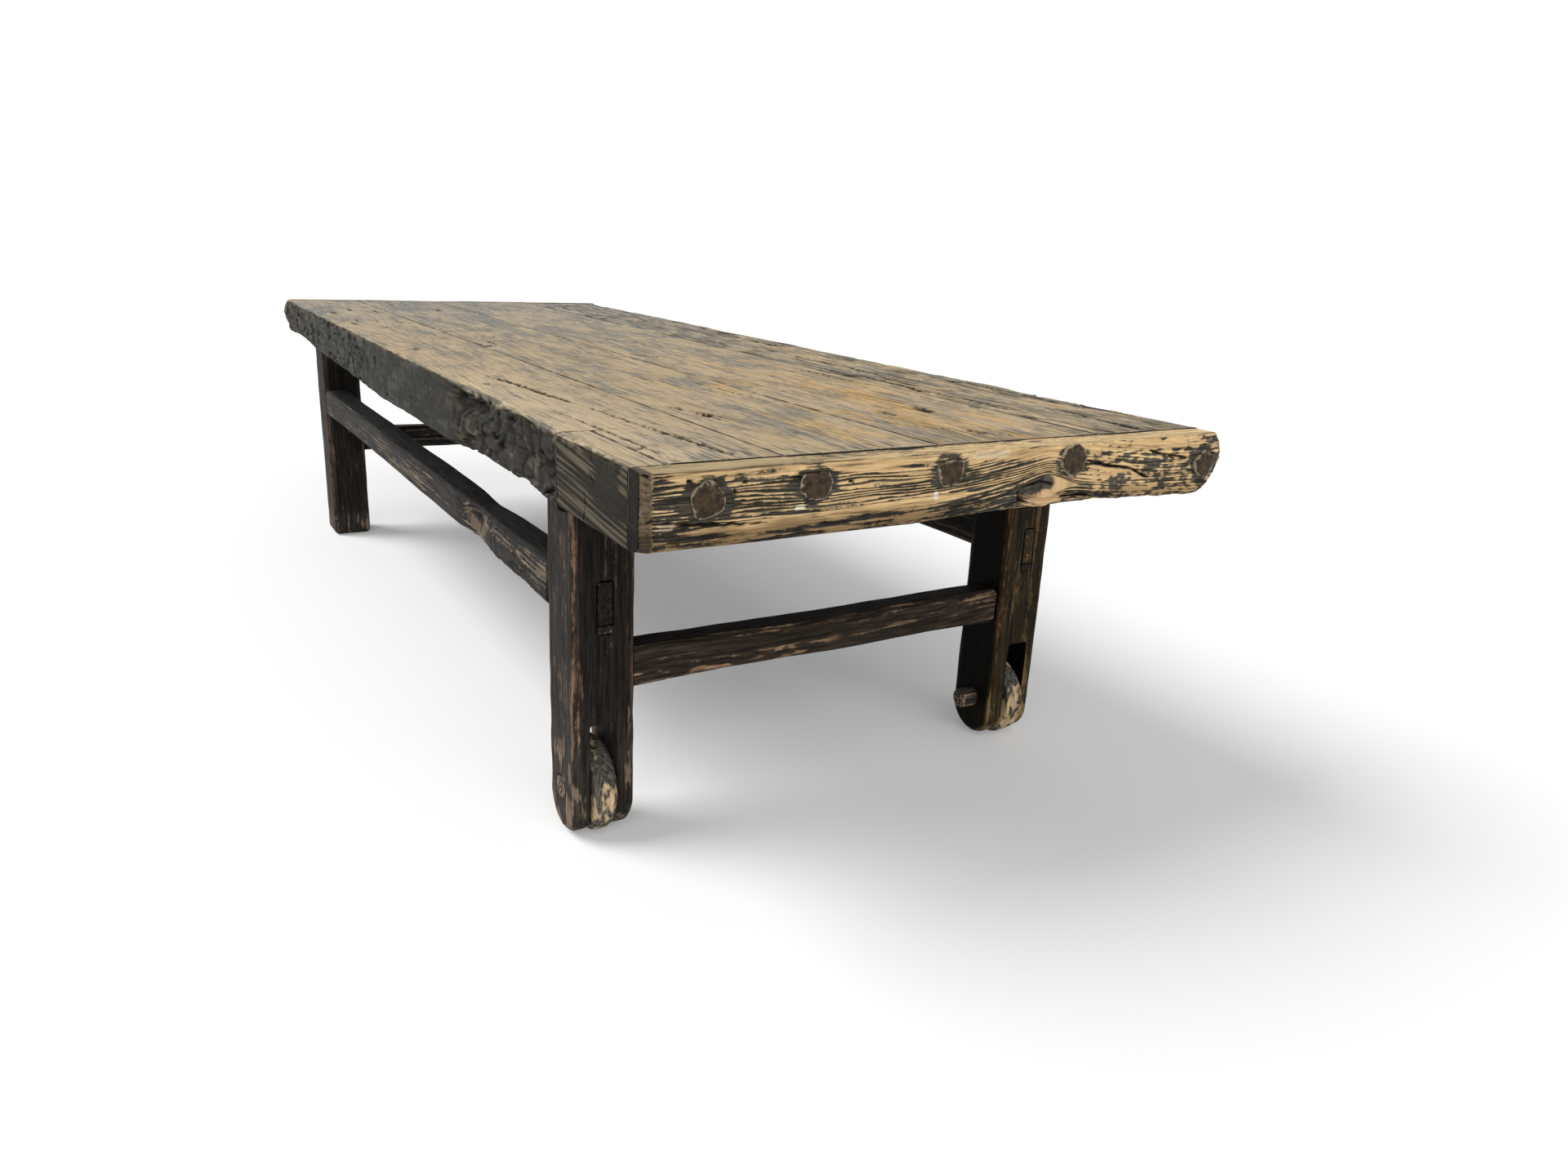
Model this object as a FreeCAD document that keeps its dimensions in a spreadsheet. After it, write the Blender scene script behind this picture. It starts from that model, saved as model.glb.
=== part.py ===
import FreeCAD, Part
import math
import os
import Sketcher

# Kang table of reused elm. Four thick planks lie side by side under a nailed end board at each end.
# Four plumb legs are tenoned into the outer planks. Long stretchers pass through the legs with
# wedged tenons, and a lower stretcher joins each pair of legs across the end. The two legs at the
# +X end are slotted for wooden wheels on wooden axle pegs, so the table moves like a wheelbarrow.
# Origin: on the floor under the middle. +X: towards the wheeled end. -Y: the front long side.

doc = FreeCAD.newDocument("KangTable")
sheet = doc.addObject("Spreadsheet::Sheet", "Sizes")

SIZES = [
    ("table_height", 440, "floor to the face of the top"),
    ("top_length", 1798, "over the two end boards"),
    ("top_width", 675, "over the two edge planks"),
    ("slab_depth", 68, "thickness of the middle planks and the end boards' height"),
    ("board_thickness", 29, "end board along the table"),
    ("board_corner_wear", 9, "chamfer on the upright corners of the end boards"),
    ("board_face_wear", 3, "rounding along an end board's upper edge"),
    ("board_foot_wear", 8, "rounding along an end board's lower edge"),
    ("knot_length", 50, "knot that stands out of an end board, along its grain"),
    ("knot_height", 24, "the same knot, up and down"),
    ("knot_rise", 5, "how far the knot's half depth reaches each way"),
    ("front_plank_width", 142.5, "front edge plank"),
    ("front_middle_width", 167, "plank behind it"),
    ("back_plank_width", 159.5, "back edge plank; the widest plank fills what is left"),
    ("plank_belly", 14, "how far an edge plank hangs below the slab at its deepest"),
    ("plank_wane", 7, "how far an edge plank's worn side falls back at most"),
    ("plank_top_round", 18, "an edge plank's upper arris where it is worn away most"),
    ("plank_foot_round", 26, "largest rounding of an edge plank's lower arris"),
    ("patch_length", 158, "let-in block at the front corner of the wheeled end"),
    ("patch_width", 33, "the same block, across the table"),
    ("patch_hang", 2, "how far the block hangs below the slab"),
    ("patch_round", 5, "rounding of the block's two front arrises"),
    ("old_slot_length", 16, "what is left open of an old mortise in the front plank's side"),
    ("old_slot_height", 22, "the same slot, up and down"),
    ("old_slot_depth", 15, "the same slot, into the plank"),
    ("tongue_length", 70, "hidden loose tongue, along the seam between two planks"),
    ("tongue_reach", 30, "the same tongue into each plank"),
    ("tongue_thickness", 12, "the same tongue, up and down"),
    ("nail_head", 31, "middling width of a forged nail's head over its corners"),
    ("nail_head_edge", 1.2, "thickness of the head at its rim"),
    ("nail_head_bevel", 1.8, "bevel hammered round the head, above its rim"),
    ("nail_shank", 9, "square shank under the head"),
    ("nail_tip", 2, "square shank at its blunt tip"),
    ("nail_length", 95, "shank from head to tip"),
    ("leg_depth", 76, "leg along the table"),
    ("leg_width", 68, "leg across the table"),
    ("leg_end_inset", 207.5, "leg's outer face from the end of the top"),
    ("leg_side_inset", 22.5, "leg's outer side from the side of the top"),
    ("leg_seat_depth", 70, "top's face down to the seat of the legs"),
    ("leg_worn_edge", 6, "flat worn along a leg's upright arrises"),
    ("foot_round", 12, "rounding under a plain leg"),
    ("foot_gap", 3, "wheeled leg's lowest point above the floor"),
    ("top_tenon_length", 44, "leg's stub tenon up into the plank"),
    ("top_tenon_depth", 48, "the same tenon along the table"),
    ("top_tenon_width", 30, "the same tenon across the table"),
    ("tenon_end_gap", 1, "room past the end of a blind tenon"),
    ("long_stretcher_height", 51, "long stretcher up and down"),
    ("long_stretcher_width", 45, "long stretcher across the table"),
    ("long_tenon_thickness", 17, "through tenon across the table"),
    ("long_tenon_set_in", 26, "leg's outer side to that tenon"),
    ("long_tenon_shoulder", 5, "stretcher's upper face down to that tenon"),
    ("wedge_height", 9, "wedge under a through tenon at the leg's face"),
    ("wedge_tip", 1.5, "the same wedge at its thin end"),
    ("wedge_length", 52, "the same wedge into the leg"),
    ("end_stretcher_share", 0.2057, "gap from the wheel slot up to the end stretchers"),
    ("long_stretcher_share", 0.2199, "gap from the end stretchers up to the long ones"),
    ("end_stretcher_height", 46, "end stretcher up and down"),
    ("end_stretcher_width", 39, "end stretcher along the table"),
    ("end_stretcher_set_back", 10, "leg's outer face to the end stretcher's face"),
    ("end_tenon_length", 38, "blind tenon into the leg"),
    ("end_tenon_thickness", 15, "the same tenon along the table"),
    ("end_tenon_height", 34, "the same tenon up and down"),
    ("stretcher_wave", 9, "largest hollow of a stretcher's worn faces, at a rotted knot"),
    ("stretcher_worn_edge", 6, "a stretcher's worn arris, along either face"),
    ("wheel_diameter", 104, "wooden wheel"),
    ("wheel_thickness", 26, "the same wheel across its tread"),
    ("wheel_crown", 5, "how far the tread falls away at each side"),
    ("wheel_tread", 15, "flat of the tread between its worn shoulders"),
    ("wheel_side_gap", 1.5, "wheel to the cheek of its slot, each side"),
    ("wheel_head_room", 30, "top of the wheel to the top of its slot"),
    ("wheel_set_back", 3, "axle behind the leg's middle"),
    ("outer_cheek", 18, "leg's wood outside the slot"),
    ("peg_diameter", 26, "wooden axle peg"),
    ("peg_running_gap", 0.08, "radial room of the wheel on its peg"),
    ("peg_end_wear", 3, "chamfer at the peg's inner end"),
    ("front_peg_reach", 8, "front peg's inner end past the leg"),
    ("back_peg_reach", 20, "back peg's inner end past the leg"),
    ("overrun", 12, "how far a cut runs past the wood"),
]

for row, (alias, size, note) in enumerate(SIZES, 1):
    sheet.set(f"A{row}", alias)
    sheet.set(f"B{row}", str(size))
    sheet.setAlias(f"B{row}", alias)
    sheet.set(f"C{row}", note)
doc.recompute()

# Places that several pieces share, each worked out from the sheet.
HALF_LENGTH = "(Sizes.top_length / 2)"
HALF_WIDTH = "(Sizes.top_width / 2)"
PLANK_END = "(Sizes.top_length / 2 - Sizes.board_thickness)"
FRONT_SEAM = "(Sizes.front_plank_width - Sizes.top_width / 2)"
MIDDLE_SEAM = "(Sizes.front_plank_width + Sizes.front_middle_width - Sizes.top_width / 2)"
BACK_SEAM = "(Sizes.top_width / 2 - Sizes.back_plank_width)"
SLAB_FOOT = "(Sizes.table_height - Sizes.slab_depth)"
LEG_SEAT = "(Sizes.table_height - Sizes.leg_seat_depth)"
LEG_X = "(Sizes.top_length / 2 - Sizes.leg_end_inset - Sizes.leg_depth / 2)"
LEG_Y = "(Sizes.top_width / 2 - Sizes.leg_side_inset - Sizes.leg_width / 2)"
AXLE_X = f"({LEG_X} - Sizes.wheel_set_back)"
AXLE_Z = "(Sizes.wheel_diameter / 2)"
SLOT_WIDTH = "(Sizes.wheel_thickness + 2 * Sizes.wheel_side_gap)"
SLOT_MIDDLE = f"(Sizes.leg_width / 2 - Sizes.outer_cheek - {SLOT_WIDTH} / 2)"
SLOT_TOP = "(Sizes.wheel_diameter + Sizes.wheel_head_room)"

# The stretchers share out the legs' free height between the wheel slots and the slab.
FREE_HEIGHT = f"({SLAB_FOOT} - {SLOT_TOP} - Sizes.end_stretcher_height - Sizes.long_stretcher_height)"
END_STRETCHER_FOOT = f"({SLOT_TOP} + Sizes.end_stretcher_share * {FREE_HEIGHT})"
END_STRETCHER_Z = f"({END_STRETCHER_FOOT} + Sizes.end_stretcher_height / 2)"
LONG_TENON_FOOT = (
    f"({END_STRETCHER_FOOT} + Sizes.end_stretcher_height"
    f" + Sizes.long_stretcher_share * {FREE_HEIGHT})"
)
LONG_TENON_TOP = (
    f"({LONG_TENON_FOOT} + Sizes.long_stretcher_height - Sizes.long_tenon_shoulder)"
)
LONG_TENON_Y = "(Sizes.leg_width / 2 - Sizes.long_tenon_set_in - Sizes.long_tenon_thickness / 2)"
END_STRETCHER_X = "(Sizes.leg_depth / 2 - Sizes.end_stretcher_set_back - Sizes.end_stretcher_width / 2)"

# A rounded corner's arc passes this share of its radius inside the two faces that it joins.
ROUND_SHARE = 1 - math.sqrt(0.5)

FRONT, BACK = -1, 1
WHEEL_END, PLAIN_END = 1, -1
SIDE_NAMES = {FRONT: "front", BACK: "back"}
END_NAMES = {WHEEL_END: "wheel_end", PLAIN_END: "plain_end"}

# Two points closer than this, in millimetres, are the same point.
TOUCH = 1e-6
LITRE = 1e6


def value(size):
    """A worked-out size in millimetres."""
    result = sheet.evalExpression(size)
    return float(getattr(result, "Value", result))


def bind(thing, **sizes):
    """Ties a piece's own properties to the sheet."""
    for name, size in sizes.items():
        thing.setExpression(name, size)


def place(thing, along, across, up):
    """Puts a piece's own origin where the sheet says."""
    for axis, size in zip("xyz", (along, across, up)):
        thing.setExpression(f"Placement.Base.{axis}", size)


def turn(thing, axis, angle):
    thing.Placement = FreeCAD.Placement(FreeCAD.Vector(), FreeCAD.Rotation(axis, angle))


X_AXIS = FreeCAD.Vector(1, 0, 0)
Y_AXIS = FreeCAD.Vector(0, 1, 0)
Z_AXIS = FreeCAD.Vector(0, 0, 1)
QUARTER = 90
FULL_TURN = 360


def new_body(name):
    body = doc.addObject("PartDesign::Body", name)
    body.Label = name
    return body


def pin_point(sketch, line, end, across, up):
    """Ties one end of a sketch line to its place."""
    for kind, size in (("DistanceX", across), ("DistanceY", up)):
        rule = sketch.addConstraint(Sketcher.Constraint(kind, -1, 1, line, end, value(size)))
        sketch.setExpression(f"Constraints[{rule}]", size)


def outline(body, name, role, lift, path):
    """Closed outline on one of the body's own planes, lifted along the plane's normal.

    Each step of the path is a corner (across, up). A step with four sizes is a corner that an arc
    reaches, and the last two sizes are a point that the arc passes through.
    """
    sketch = body.newObject("Sketcher::SketchObject", name)
    plane = [feature for feature in body.Origin.OriginFeatures if feature.Role == role][0]
    sketch.AttachmentSupport = [(plane, "")]
    sketch.MapMode = "FlatFace"
    sketch.setExpression("AttachmentOffset.Base.z", lift)
    corners = [FreeCAD.Vector(value(step[0]), value(step[1]), 0) for step in path]
    sides = []
    for index, step in enumerate(path):
        start, end = corners[index - 1], corners[index]
        if len(step) == 2:
            side = sketch.addGeometry(Part.LineSegment(start, end), False)
            sides.append((side, 1, 2))
            continue
        middle = FreeCAD.Vector(value(step[2]), value(step[3]), 0)
        side = sketch.addGeometry(Part.Arc(start, middle, end), False)
        forward = sketch.getPoint(side, 1).isEqual(start, TOUCH)
        sides.append((side, 1, 2) if forward else (side, 2, 1))
    for index, step in enumerate(path):
        side, _, last = sides[index]
        following, first, _ = sides[(index + 1) % len(path)]
        sketch.addConstraint(Sketcher.Constraint("Coincident", side, last, following, first))
        pin_point(sketch, side, last, step[0], step[1])
        if len(step) == 4:
            middle = FreeCAD.Vector(value(step[2]), value(step[3]), 0)
            mark = sketch.addGeometry(Part.Point(middle), True)
            pin_point(sketch, mark, 1, step[2], step[3])
            sketch.addConstraint(Sketcher.Constraint("PointOnObject", mark, 1, side))
    return sketch


def rectangle(low_x, high_x, low_y, high_y):
    return [(low_x, low_y), (high_x, low_y), (high_x, high_y), (low_x, high_y)]


def pad(body, sketch, length, both_ways=False, backwards=False):
    feature = body.newObject("PartDesign::Pad", f"{sketch.Name}_pad")
    feature.Profile = sketch
    feature.Midplane = both_ways
    feature.Reversed = backwards
    bind(feature, Length=length)
    sketch.Visibility = False
    return feature


def pocket(body, sketch, length):
    """Cuts the outline out of the body, half of the length to each side of the sketch."""
    feature = body.newObject("PartDesign::Pocket", f"{sketch.Name}_pocket")
    feature.Profile = sketch
    feature.Midplane = True
    bind(feature, Length=length)
    sketch.Visibility = False
    return feature


def ruled_loft(body, name, sections):
    feature = body.newObject("PartDesign::AdditiveLoft", name)
    feature.Profile = sections[0]
    feature.Sections = sections[1:]
    feature.Ruled = True
    return feature


def wear_edges(body, name, kind, size, wanted):
    """Rounds or chamfers each edge of the body for which wanted(edge) is true."""
    doc.recompute()
    base = body.Tip
    names = [f"Edge{number}" for number, edge in enumerate(base.Shape.Edges, 1) if wanted(edge)]
    feature = body.newObject(f"PartDesign::{kind}", name)
    feature.Base = (base, names)
    bind(feature, **{"Radius" if kind == "Fillet" else "Size": size})
    return feature


def solid_box(name, length, width, height, along, across, up):
    """Block whose middle stands at (along, across) and whose foot is at up."""
    block = doc.addObject("Part::Box", name)
    bind(block, Length=length, Width=width, Height=height)
    place(block, f"{along} - {length} / 2", f"{across} - {width} / 2", up)
    return block


def fuse(name, pieces):
    joined = doc.addObject("Part::MultiFuse", name)
    joined.Shapes = pieces
    return joined


def cut(name, wood, cutters):
    """The wood with every cutter taken out of it."""
    carved = doc.addObject("Part::Cut", name)
    carved.Label = name
    carved.Base = wood
    carved.Tool = fuse(f"{name}_cutters", cutters)
    return carved


def group(name, pieces):
    """Like pieces that share one node, each a solid of its own."""
    compound = doc.addObject("Part::Compound", name)
    compound.Label = name
    compound.Links = pieces
    return compound


# Forged nails. Across the table as shares of the half width, down as shares of the slab's depth,
# and each head's size as a share of the middling head, because no two were forged alike.
NAIL_SHARES = [
    (-0.833, 0.375, 1.02),
    (-0.530, 0.270, 0.98),
    (-0.107, 0.255, 0.95),
    (0.347, 0.255, 1.06),
    (0.924, 0.490, 0.97),
]
HAMMERED_SIDES = 10


def forged_nail(name, end, across, up, head):
    """Many-sided head with a hammered bevel, on a square shank with a blunt tip."""
    body = new_body(f"{name}_head")
    ring = []
    for corner in range(HAMMERED_SIDES):
        angle = 2 * math.pi * corner / HAMMERED_SIDES
        ring.append((f"{math.cos(angle)} * {head} / 2", f"{math.sin(angle)} * {head} / 2"))
    sketch = outline(body, f"{name}_ring", "YZ_Plane", "0", ring)
    pad(body, sketch, "Sizes.nail_head_edge + Sizes.nail_head_bevel", backwards=end < 0)
    rim = value("Sizes.nail_head_edge")

    def round_the_face(edge):
        return edge.BoundBox.XLength < TOUCH and abs(edge.BoundBox.XMin) > rim

    wear_edges(body, f"{name}_bevel", "Chamfer", "Sizes.nail_head_bevel", round_the_face)
    place(body, f"{end} * {HALF_LENGTH}", across, up)
    shank = doc.addObject("Part::Wedge", f"{name}_shank")
    turn(shank, Z_AXIS, end * QUARTER)
    bind(shank, Xmin="-Sizes.nail_shank / 2", Xmax="Sizes.nail_shank / 2")
    bind(shank, Zmin="-Sizes.nail_shank / 2", Zmax="Sizes.nail_shank / 2")
    bind(shank, X2min="-Sizes.nail_tip / 2", X2max="Sizes.nail_tip / 2")
    bind(shank, Z2min="-Sizes.nail_tip / 2", Z2max="Sizes.nail_tip / 2")
    bind(shank, Ymin="0", Ymax="Sizes.nail_length")
    place(shank, f"{end} * {HALF_LENGTH}", across, up)
    return fuse(name, [body, shank])


def nail_row(name, end):
    nails = []
    for number, (across, down, size) in enumerate(NAIL_SHARES, 1):
        middle = f"{across} * {HALF_WIDTH}"
        height = f"Sizes.table_height - {down} * Sizes.slab_depth"
        nails.append(forged_nail(f"{name}_{number}", end, middle, height, f"({size} * Sizes.nail_head)"))
    return group(name, nails)


# Hidden loose tongues, as shares of the planks' half length from the middle.
TONGUE_SHARES = [-0.86, -0.43, 0, 0.43, 0.86]


def tongue_row(name, seam):
    """Flat loose tongues that keep two planks level, half of each in either plank."""
    size = ("Sizes.tongue_length", "(2 * Sizes.tongue_reach)", "Sizes.tongue_thickness")
    foot = "Sizes.table_height - (Sizes.slab_depth + Sizes.tongue_thickness) / 2"
    tongues = []
    for number, along in enumerate(TONGUE_SHARES, 1):
        middle = f"{along} * {PLANK_END}"
        tongues.append(solid_box(f"{name}_{number}", *size, middle, seam, foot))
    return group(name, tongues)


# Worn edge planks. Each row: place along the plank as a share of its half length, then shares of
# the belly below the slab, of the wane in the side, and of the two roundings, upper and lower.
FRONT_PLANK_SHARES = [
    (-1.00, 0.10, 0.45, 0.30, 1.00),
    (-0.82, 0.20, 0.10, 0.25, 0.85),
    (-0.62, 0.45, 0.30, 0.30, 0.45),
    (-0.36, 0.50, 0.00, 0.25, 0.35),
    (-0.17, 0.80, 0.20, 0.30, 0.30),
    (-0.04, 1.00, 0.10, 0.25, 0.35),
    (0.20, 0.75, 0.00, 0.30, 0.30),
    (0.42, 0.75, 0.10, 0.35, 0.35),
    (0.49, 0.55, 0.25, 1.00, 0.45),
    (0.57, 0.50, 0.20, 0.90, 0.40),
    (0.64, 0.50, 0.05, 0.35, 0.35),
    (0.71, 0.30, 0.25, 0.45, 0.35),
    (0.76, 0.70, 0.10, 0.80, 0.25),
    (0.82, 0.65, 0.00, 0.30, 0.25),
    (0.86, 0.15, 0.00, 0.30, 0.25),
    (1.00, 0.05, 0.00, 0.30, 0.25),
]
BACK_PLANK_SHARES = [
    (-1.00, 0.15, 0.60, 0.45, 0.80),
    (-0.84, 0.30, 0.00, 0.30, 0.60),
    (-0.70, 0.40, 0.55, 0.40, 0.50),
    (-0.45, 0.60, 0.20, 0.30, 0.40),
    (-0.20, 0.90, 0.75, 0.45, 0.50),
    (0.05, 0.80, 0.40, 0.35, 0.40),
    (0.30, 0.55, 0.80, 0.50, 0.50),
    (0.52, 0.65, 0.30, 0.40, 0.40),
    (0.72, 0.45, 0.50, 0.45, 0.35),
    (0.86, 0.30, 0.15, 0.35, 0.40),
    (1.00, 0.05, 0.55, 0.50, 0.50),
]


def plank_section(side, seam, belly, wane, upper, lower):
    """Cross-section of an edge plank: square at the seam, rounded on its worn side."""
    face = f"{side} * ({HALF_WIDTH} - {wane} * Sizes.plank_wane)"
    foot = f"({SLAB_FOOT} - {belly} * Sizes.plank_belly)"
    top = "Sizes.table_height"
    upper_round = f"{upper} * Sizes.plank_top_round"
    lower_round = f"{lower} * Sizes.plank_foot_round"
    return [
        (seam, foot),
        (seam, top),
        (f"{face} - {side} * {upper_round}", top),
        (
            face,
            f"{top} - {upper_round}",
            f"{face} - {side} * {ROUND_SHARE} * {upper_round}",
            f"{top} - {ROUND_SHARE} * {upper_round}",
        ),
        (face, f"{foot} + {lower_round}"),
        (
            f"{face} - {side} * {lower_round}",
            foot,
            f"{face} - {side} * {ROUND_SHARE} * {lower_round}",
            f"{foot} + {ROUND_SHARE} * {lower_round}",
        ),
    ]


def edge_plank(name, side, seam, shares):
    body = new_body(f"{name}_blank")
    sections = []
    for number, (along, *form) in enumerate(shares, 1):
        path = plank_section(side, seam, *form)
        lift = f"{along} * {PLANK_END}"
        sections.append(outline(body, f"{name}_section_{number}", "YZ_Plane", lift, path))
    ruled_loft(body, f"{name}_loft", sections)
    return body


def middle_plank(name, low_seam, high_seam):
    body = new_body(f"{name}_blank")
    path = rectangle(low_seam, high_seam, SLAB_FOOT, "Sizes.table_height")
    section = outline(body, f"{name}_section", "YZ_Plane", "0", path)
    pad(body, section, f"2 * {PLANK_END}", both_ways=True)
    return body


# Old slot in the front plank's side: along as a share of the planks' half length from the middle,
# down as a share of the slab's depth.
OLD_SLOT_SHARES = (-0.046, 0.49)


def corner_patch(name):
    """Straight block let into the front plank's corner, rounded on its two front arrises."""
    body = new_body(name)
    face = f"-{HALF_WIDTH}"
    rear = f"(Sizes.patch_width - {HALF_WIDTH})"
    top = "Sizes.table_height"
    foot = f"({SLAB_FOOT} - Sizes.patch_hang)"
    worn = "Sizes.patch_round"
    near = f"{ROUND_SHARE} * {worn}"
    path = [
        (rear, foot),
        (rear, top),
        (f"{face} + {worn}", top),
        (face, f"{top} - {worn}", f"{face} + {near}", f"{top} - {near}"),
        (face, f"{foot} + {worn}"),
        (f"{face} + {worn}", foot, f"{face} + {near}", f"{foot} + {near}"),
    ]
    start = f"{PLANK_END} - Sizes.patch_length"
    pad(body, outline(body, f"{name}_outline", "YZ_Plane", start, path), "Sizes.patch_length")
    return body


def leg_socket(name, end, side):
    """Flat seat for a leg's shoulders and the blind mortise for its stub tenon."""
    middle = (f"{end} * {LEG_X}", f"{side} * {LEG_Y}")
    below = f"({LEG_SEAT} - Sizes.plank_belly - Sizes.overrun)"
    seat_size = ("Sizes.leg_depth", "Sizes.leg_width", f"({LEG_SEAT} - {below})")
    tenon_room = "(Sizes.top_tenon_length + Sizes.tenon_end_gap)"
    mortise_size = ("Sizes.top_tenon_depth", "Sizes.top_tenon_width", tenon_room)
    return [
        solid_box(f"{name}_seat", *seat_size, *middle, below),
        solid_box(f"{name}_mortise", *mortise_size, *middle, LEG_SEAT),
    ]


# End board, seen from the wheeled end: across as shares of the half width and down as shares of the
# slab's depth. Its front end is square, and its back end and lower edge are worn round.
BOARD_SHARES = [
    (-1.000, 0.000),
    (-1.000, 0.993),
    (-0.210, 0.993),
    (0.690, 0.993, 0.180, 0.930),
    (0.924, 1.015),
    (1.000, 0.412, 0.980, 0.767),
    (0.969, 0.000, 0.992, 0.192),
]
KNOT_PLACE_SHARES = (0.250, 0.730)


def end_board(name, end, front, nails):
    """Board across the planks' ends. `front` is the side of the table where its square end lies."""
    body = new_body(f"{name}_blank")
    path = []
    for step in BOARD_SHARES:
        sizes = []
        for across, down in zip(step[::2], step[1::2]):
            sizes.append(f"{-front * across} * {HALF_WIDTH}")
            sizes.append(f"Sizes.table_height - {down} * Sizes.slab_depth")
        path.append(tuple(sizes))
    inner = PLANK_END if end == WHEEL_END else f"-{HALF_LENGTH}"
    pad(body, outline(body, f"{name}_outline", "YZ_Plane", inner, path), "Sizes.board_thickness")
    outer_face = end * value(HALF_LENGTH)
    foot = value(f"{SLAB_FOOT} + Sizes.board_foot_wear")
    top = value("Sizes.table_height")

    def on_outer_face(edge):
        return all(abs(point.Point.x - outer_face) < TOUCH for point in edge.Vertexes)

    def square_corner(edge):
        upright = edge.BoundBox.YLength < TOUCH
        return on_outer_face(edge) and upright and edge.BoundBox.ZMax > top - TOUCH

    def lower_edge(edge):
        return on_outer_face(edge) and edge.BoundBox.ZMax < foot

    def upper_edge(edge):
        return on_outer_face(edge) and edge.BoundBox.ZMin > top - TOUCH

    wear_edges(body, f"{name}_corner", "Chamfer", "Sizes.board_corner_wear", square_corner)
    wear_edges(body, f"{name}_lower_edge", "Fillet", "Sizes.board_foot_wear", lower_edge)
    wear_edges(body, f"{name}_upper_edge", "Fillet", "Sizes.board_face_wear", upper_edge)
    knot = doc.addObject("Part::Ellipsoid", f"{name}_knot")
    bind(knot, Radius1="Sizes.knot_height / 2", Radius2="Sizes.knot_rise", Radius3="Sizes.knot_length / 2")
    across, down = KNOT_PLACE_SHARES
    knot_x = f"{end} * ({HALF_LENGTH} - Sizes.knot_rise / 2)"
    knot_z = f"Sizes.table_height - {down} * Sizes.slab_depth"
    place(knot, knot_x, f"{-front * across} * {HALF_WIDTH}", knot_z)
    return cut(name, fuse(f"{name}_with_knot", [body, knot]), [nails])


def leg_profile(wheeled):
    """Side view of a leg up to its shoulders, about its own middle line."""
    half = "Sizes.leg_depth / 2"
    shoulders = [(half, LEG_SEAT), (f"-{half}", LEG_SEAT)]
    if wheeled:
        spring = f"{half} + Sizes.foot_gap"
        return shoulders + [(f"-{half}", spring), (half, spring, "0", "Sizes.foot_gap")]
    worn = "Sizes.foot_round"
    return shoulders + [
        (f"-{half}", worn),
        (f"{worn} - {half}", "0", f"{ROUND_SHARE} * {worn} - {half}", f"{ROUND_SHARE} * {worn}"),
        (f"{half} - {worn}", "0"),
        (half, worn, f"{half} - {ROUND_SHARE} * {worn}", f"{ROUND_SHARE} * {worn}"),
    ]


def wedge_outline(end):
    """Wedge under a through tenon, seen from the side, about the leg's middle line."""
    outer = f"{end} * Sizes.leg_depth / 2"
    inner = f"{end} * (Sizes.leg_depth / 2 - Sizes.wedge_length)"
    return [
        (outer, LONG_TENON_FOOT),
        (inner, LONG_TENON_FOOT),
        (inner, f"{LONG_TENON_FOOT} - Sizes.wedge_tip"),
        (outer, f"{LONG_TENON_FOOT} - Sizes.wedge_height"),
    ]


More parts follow.
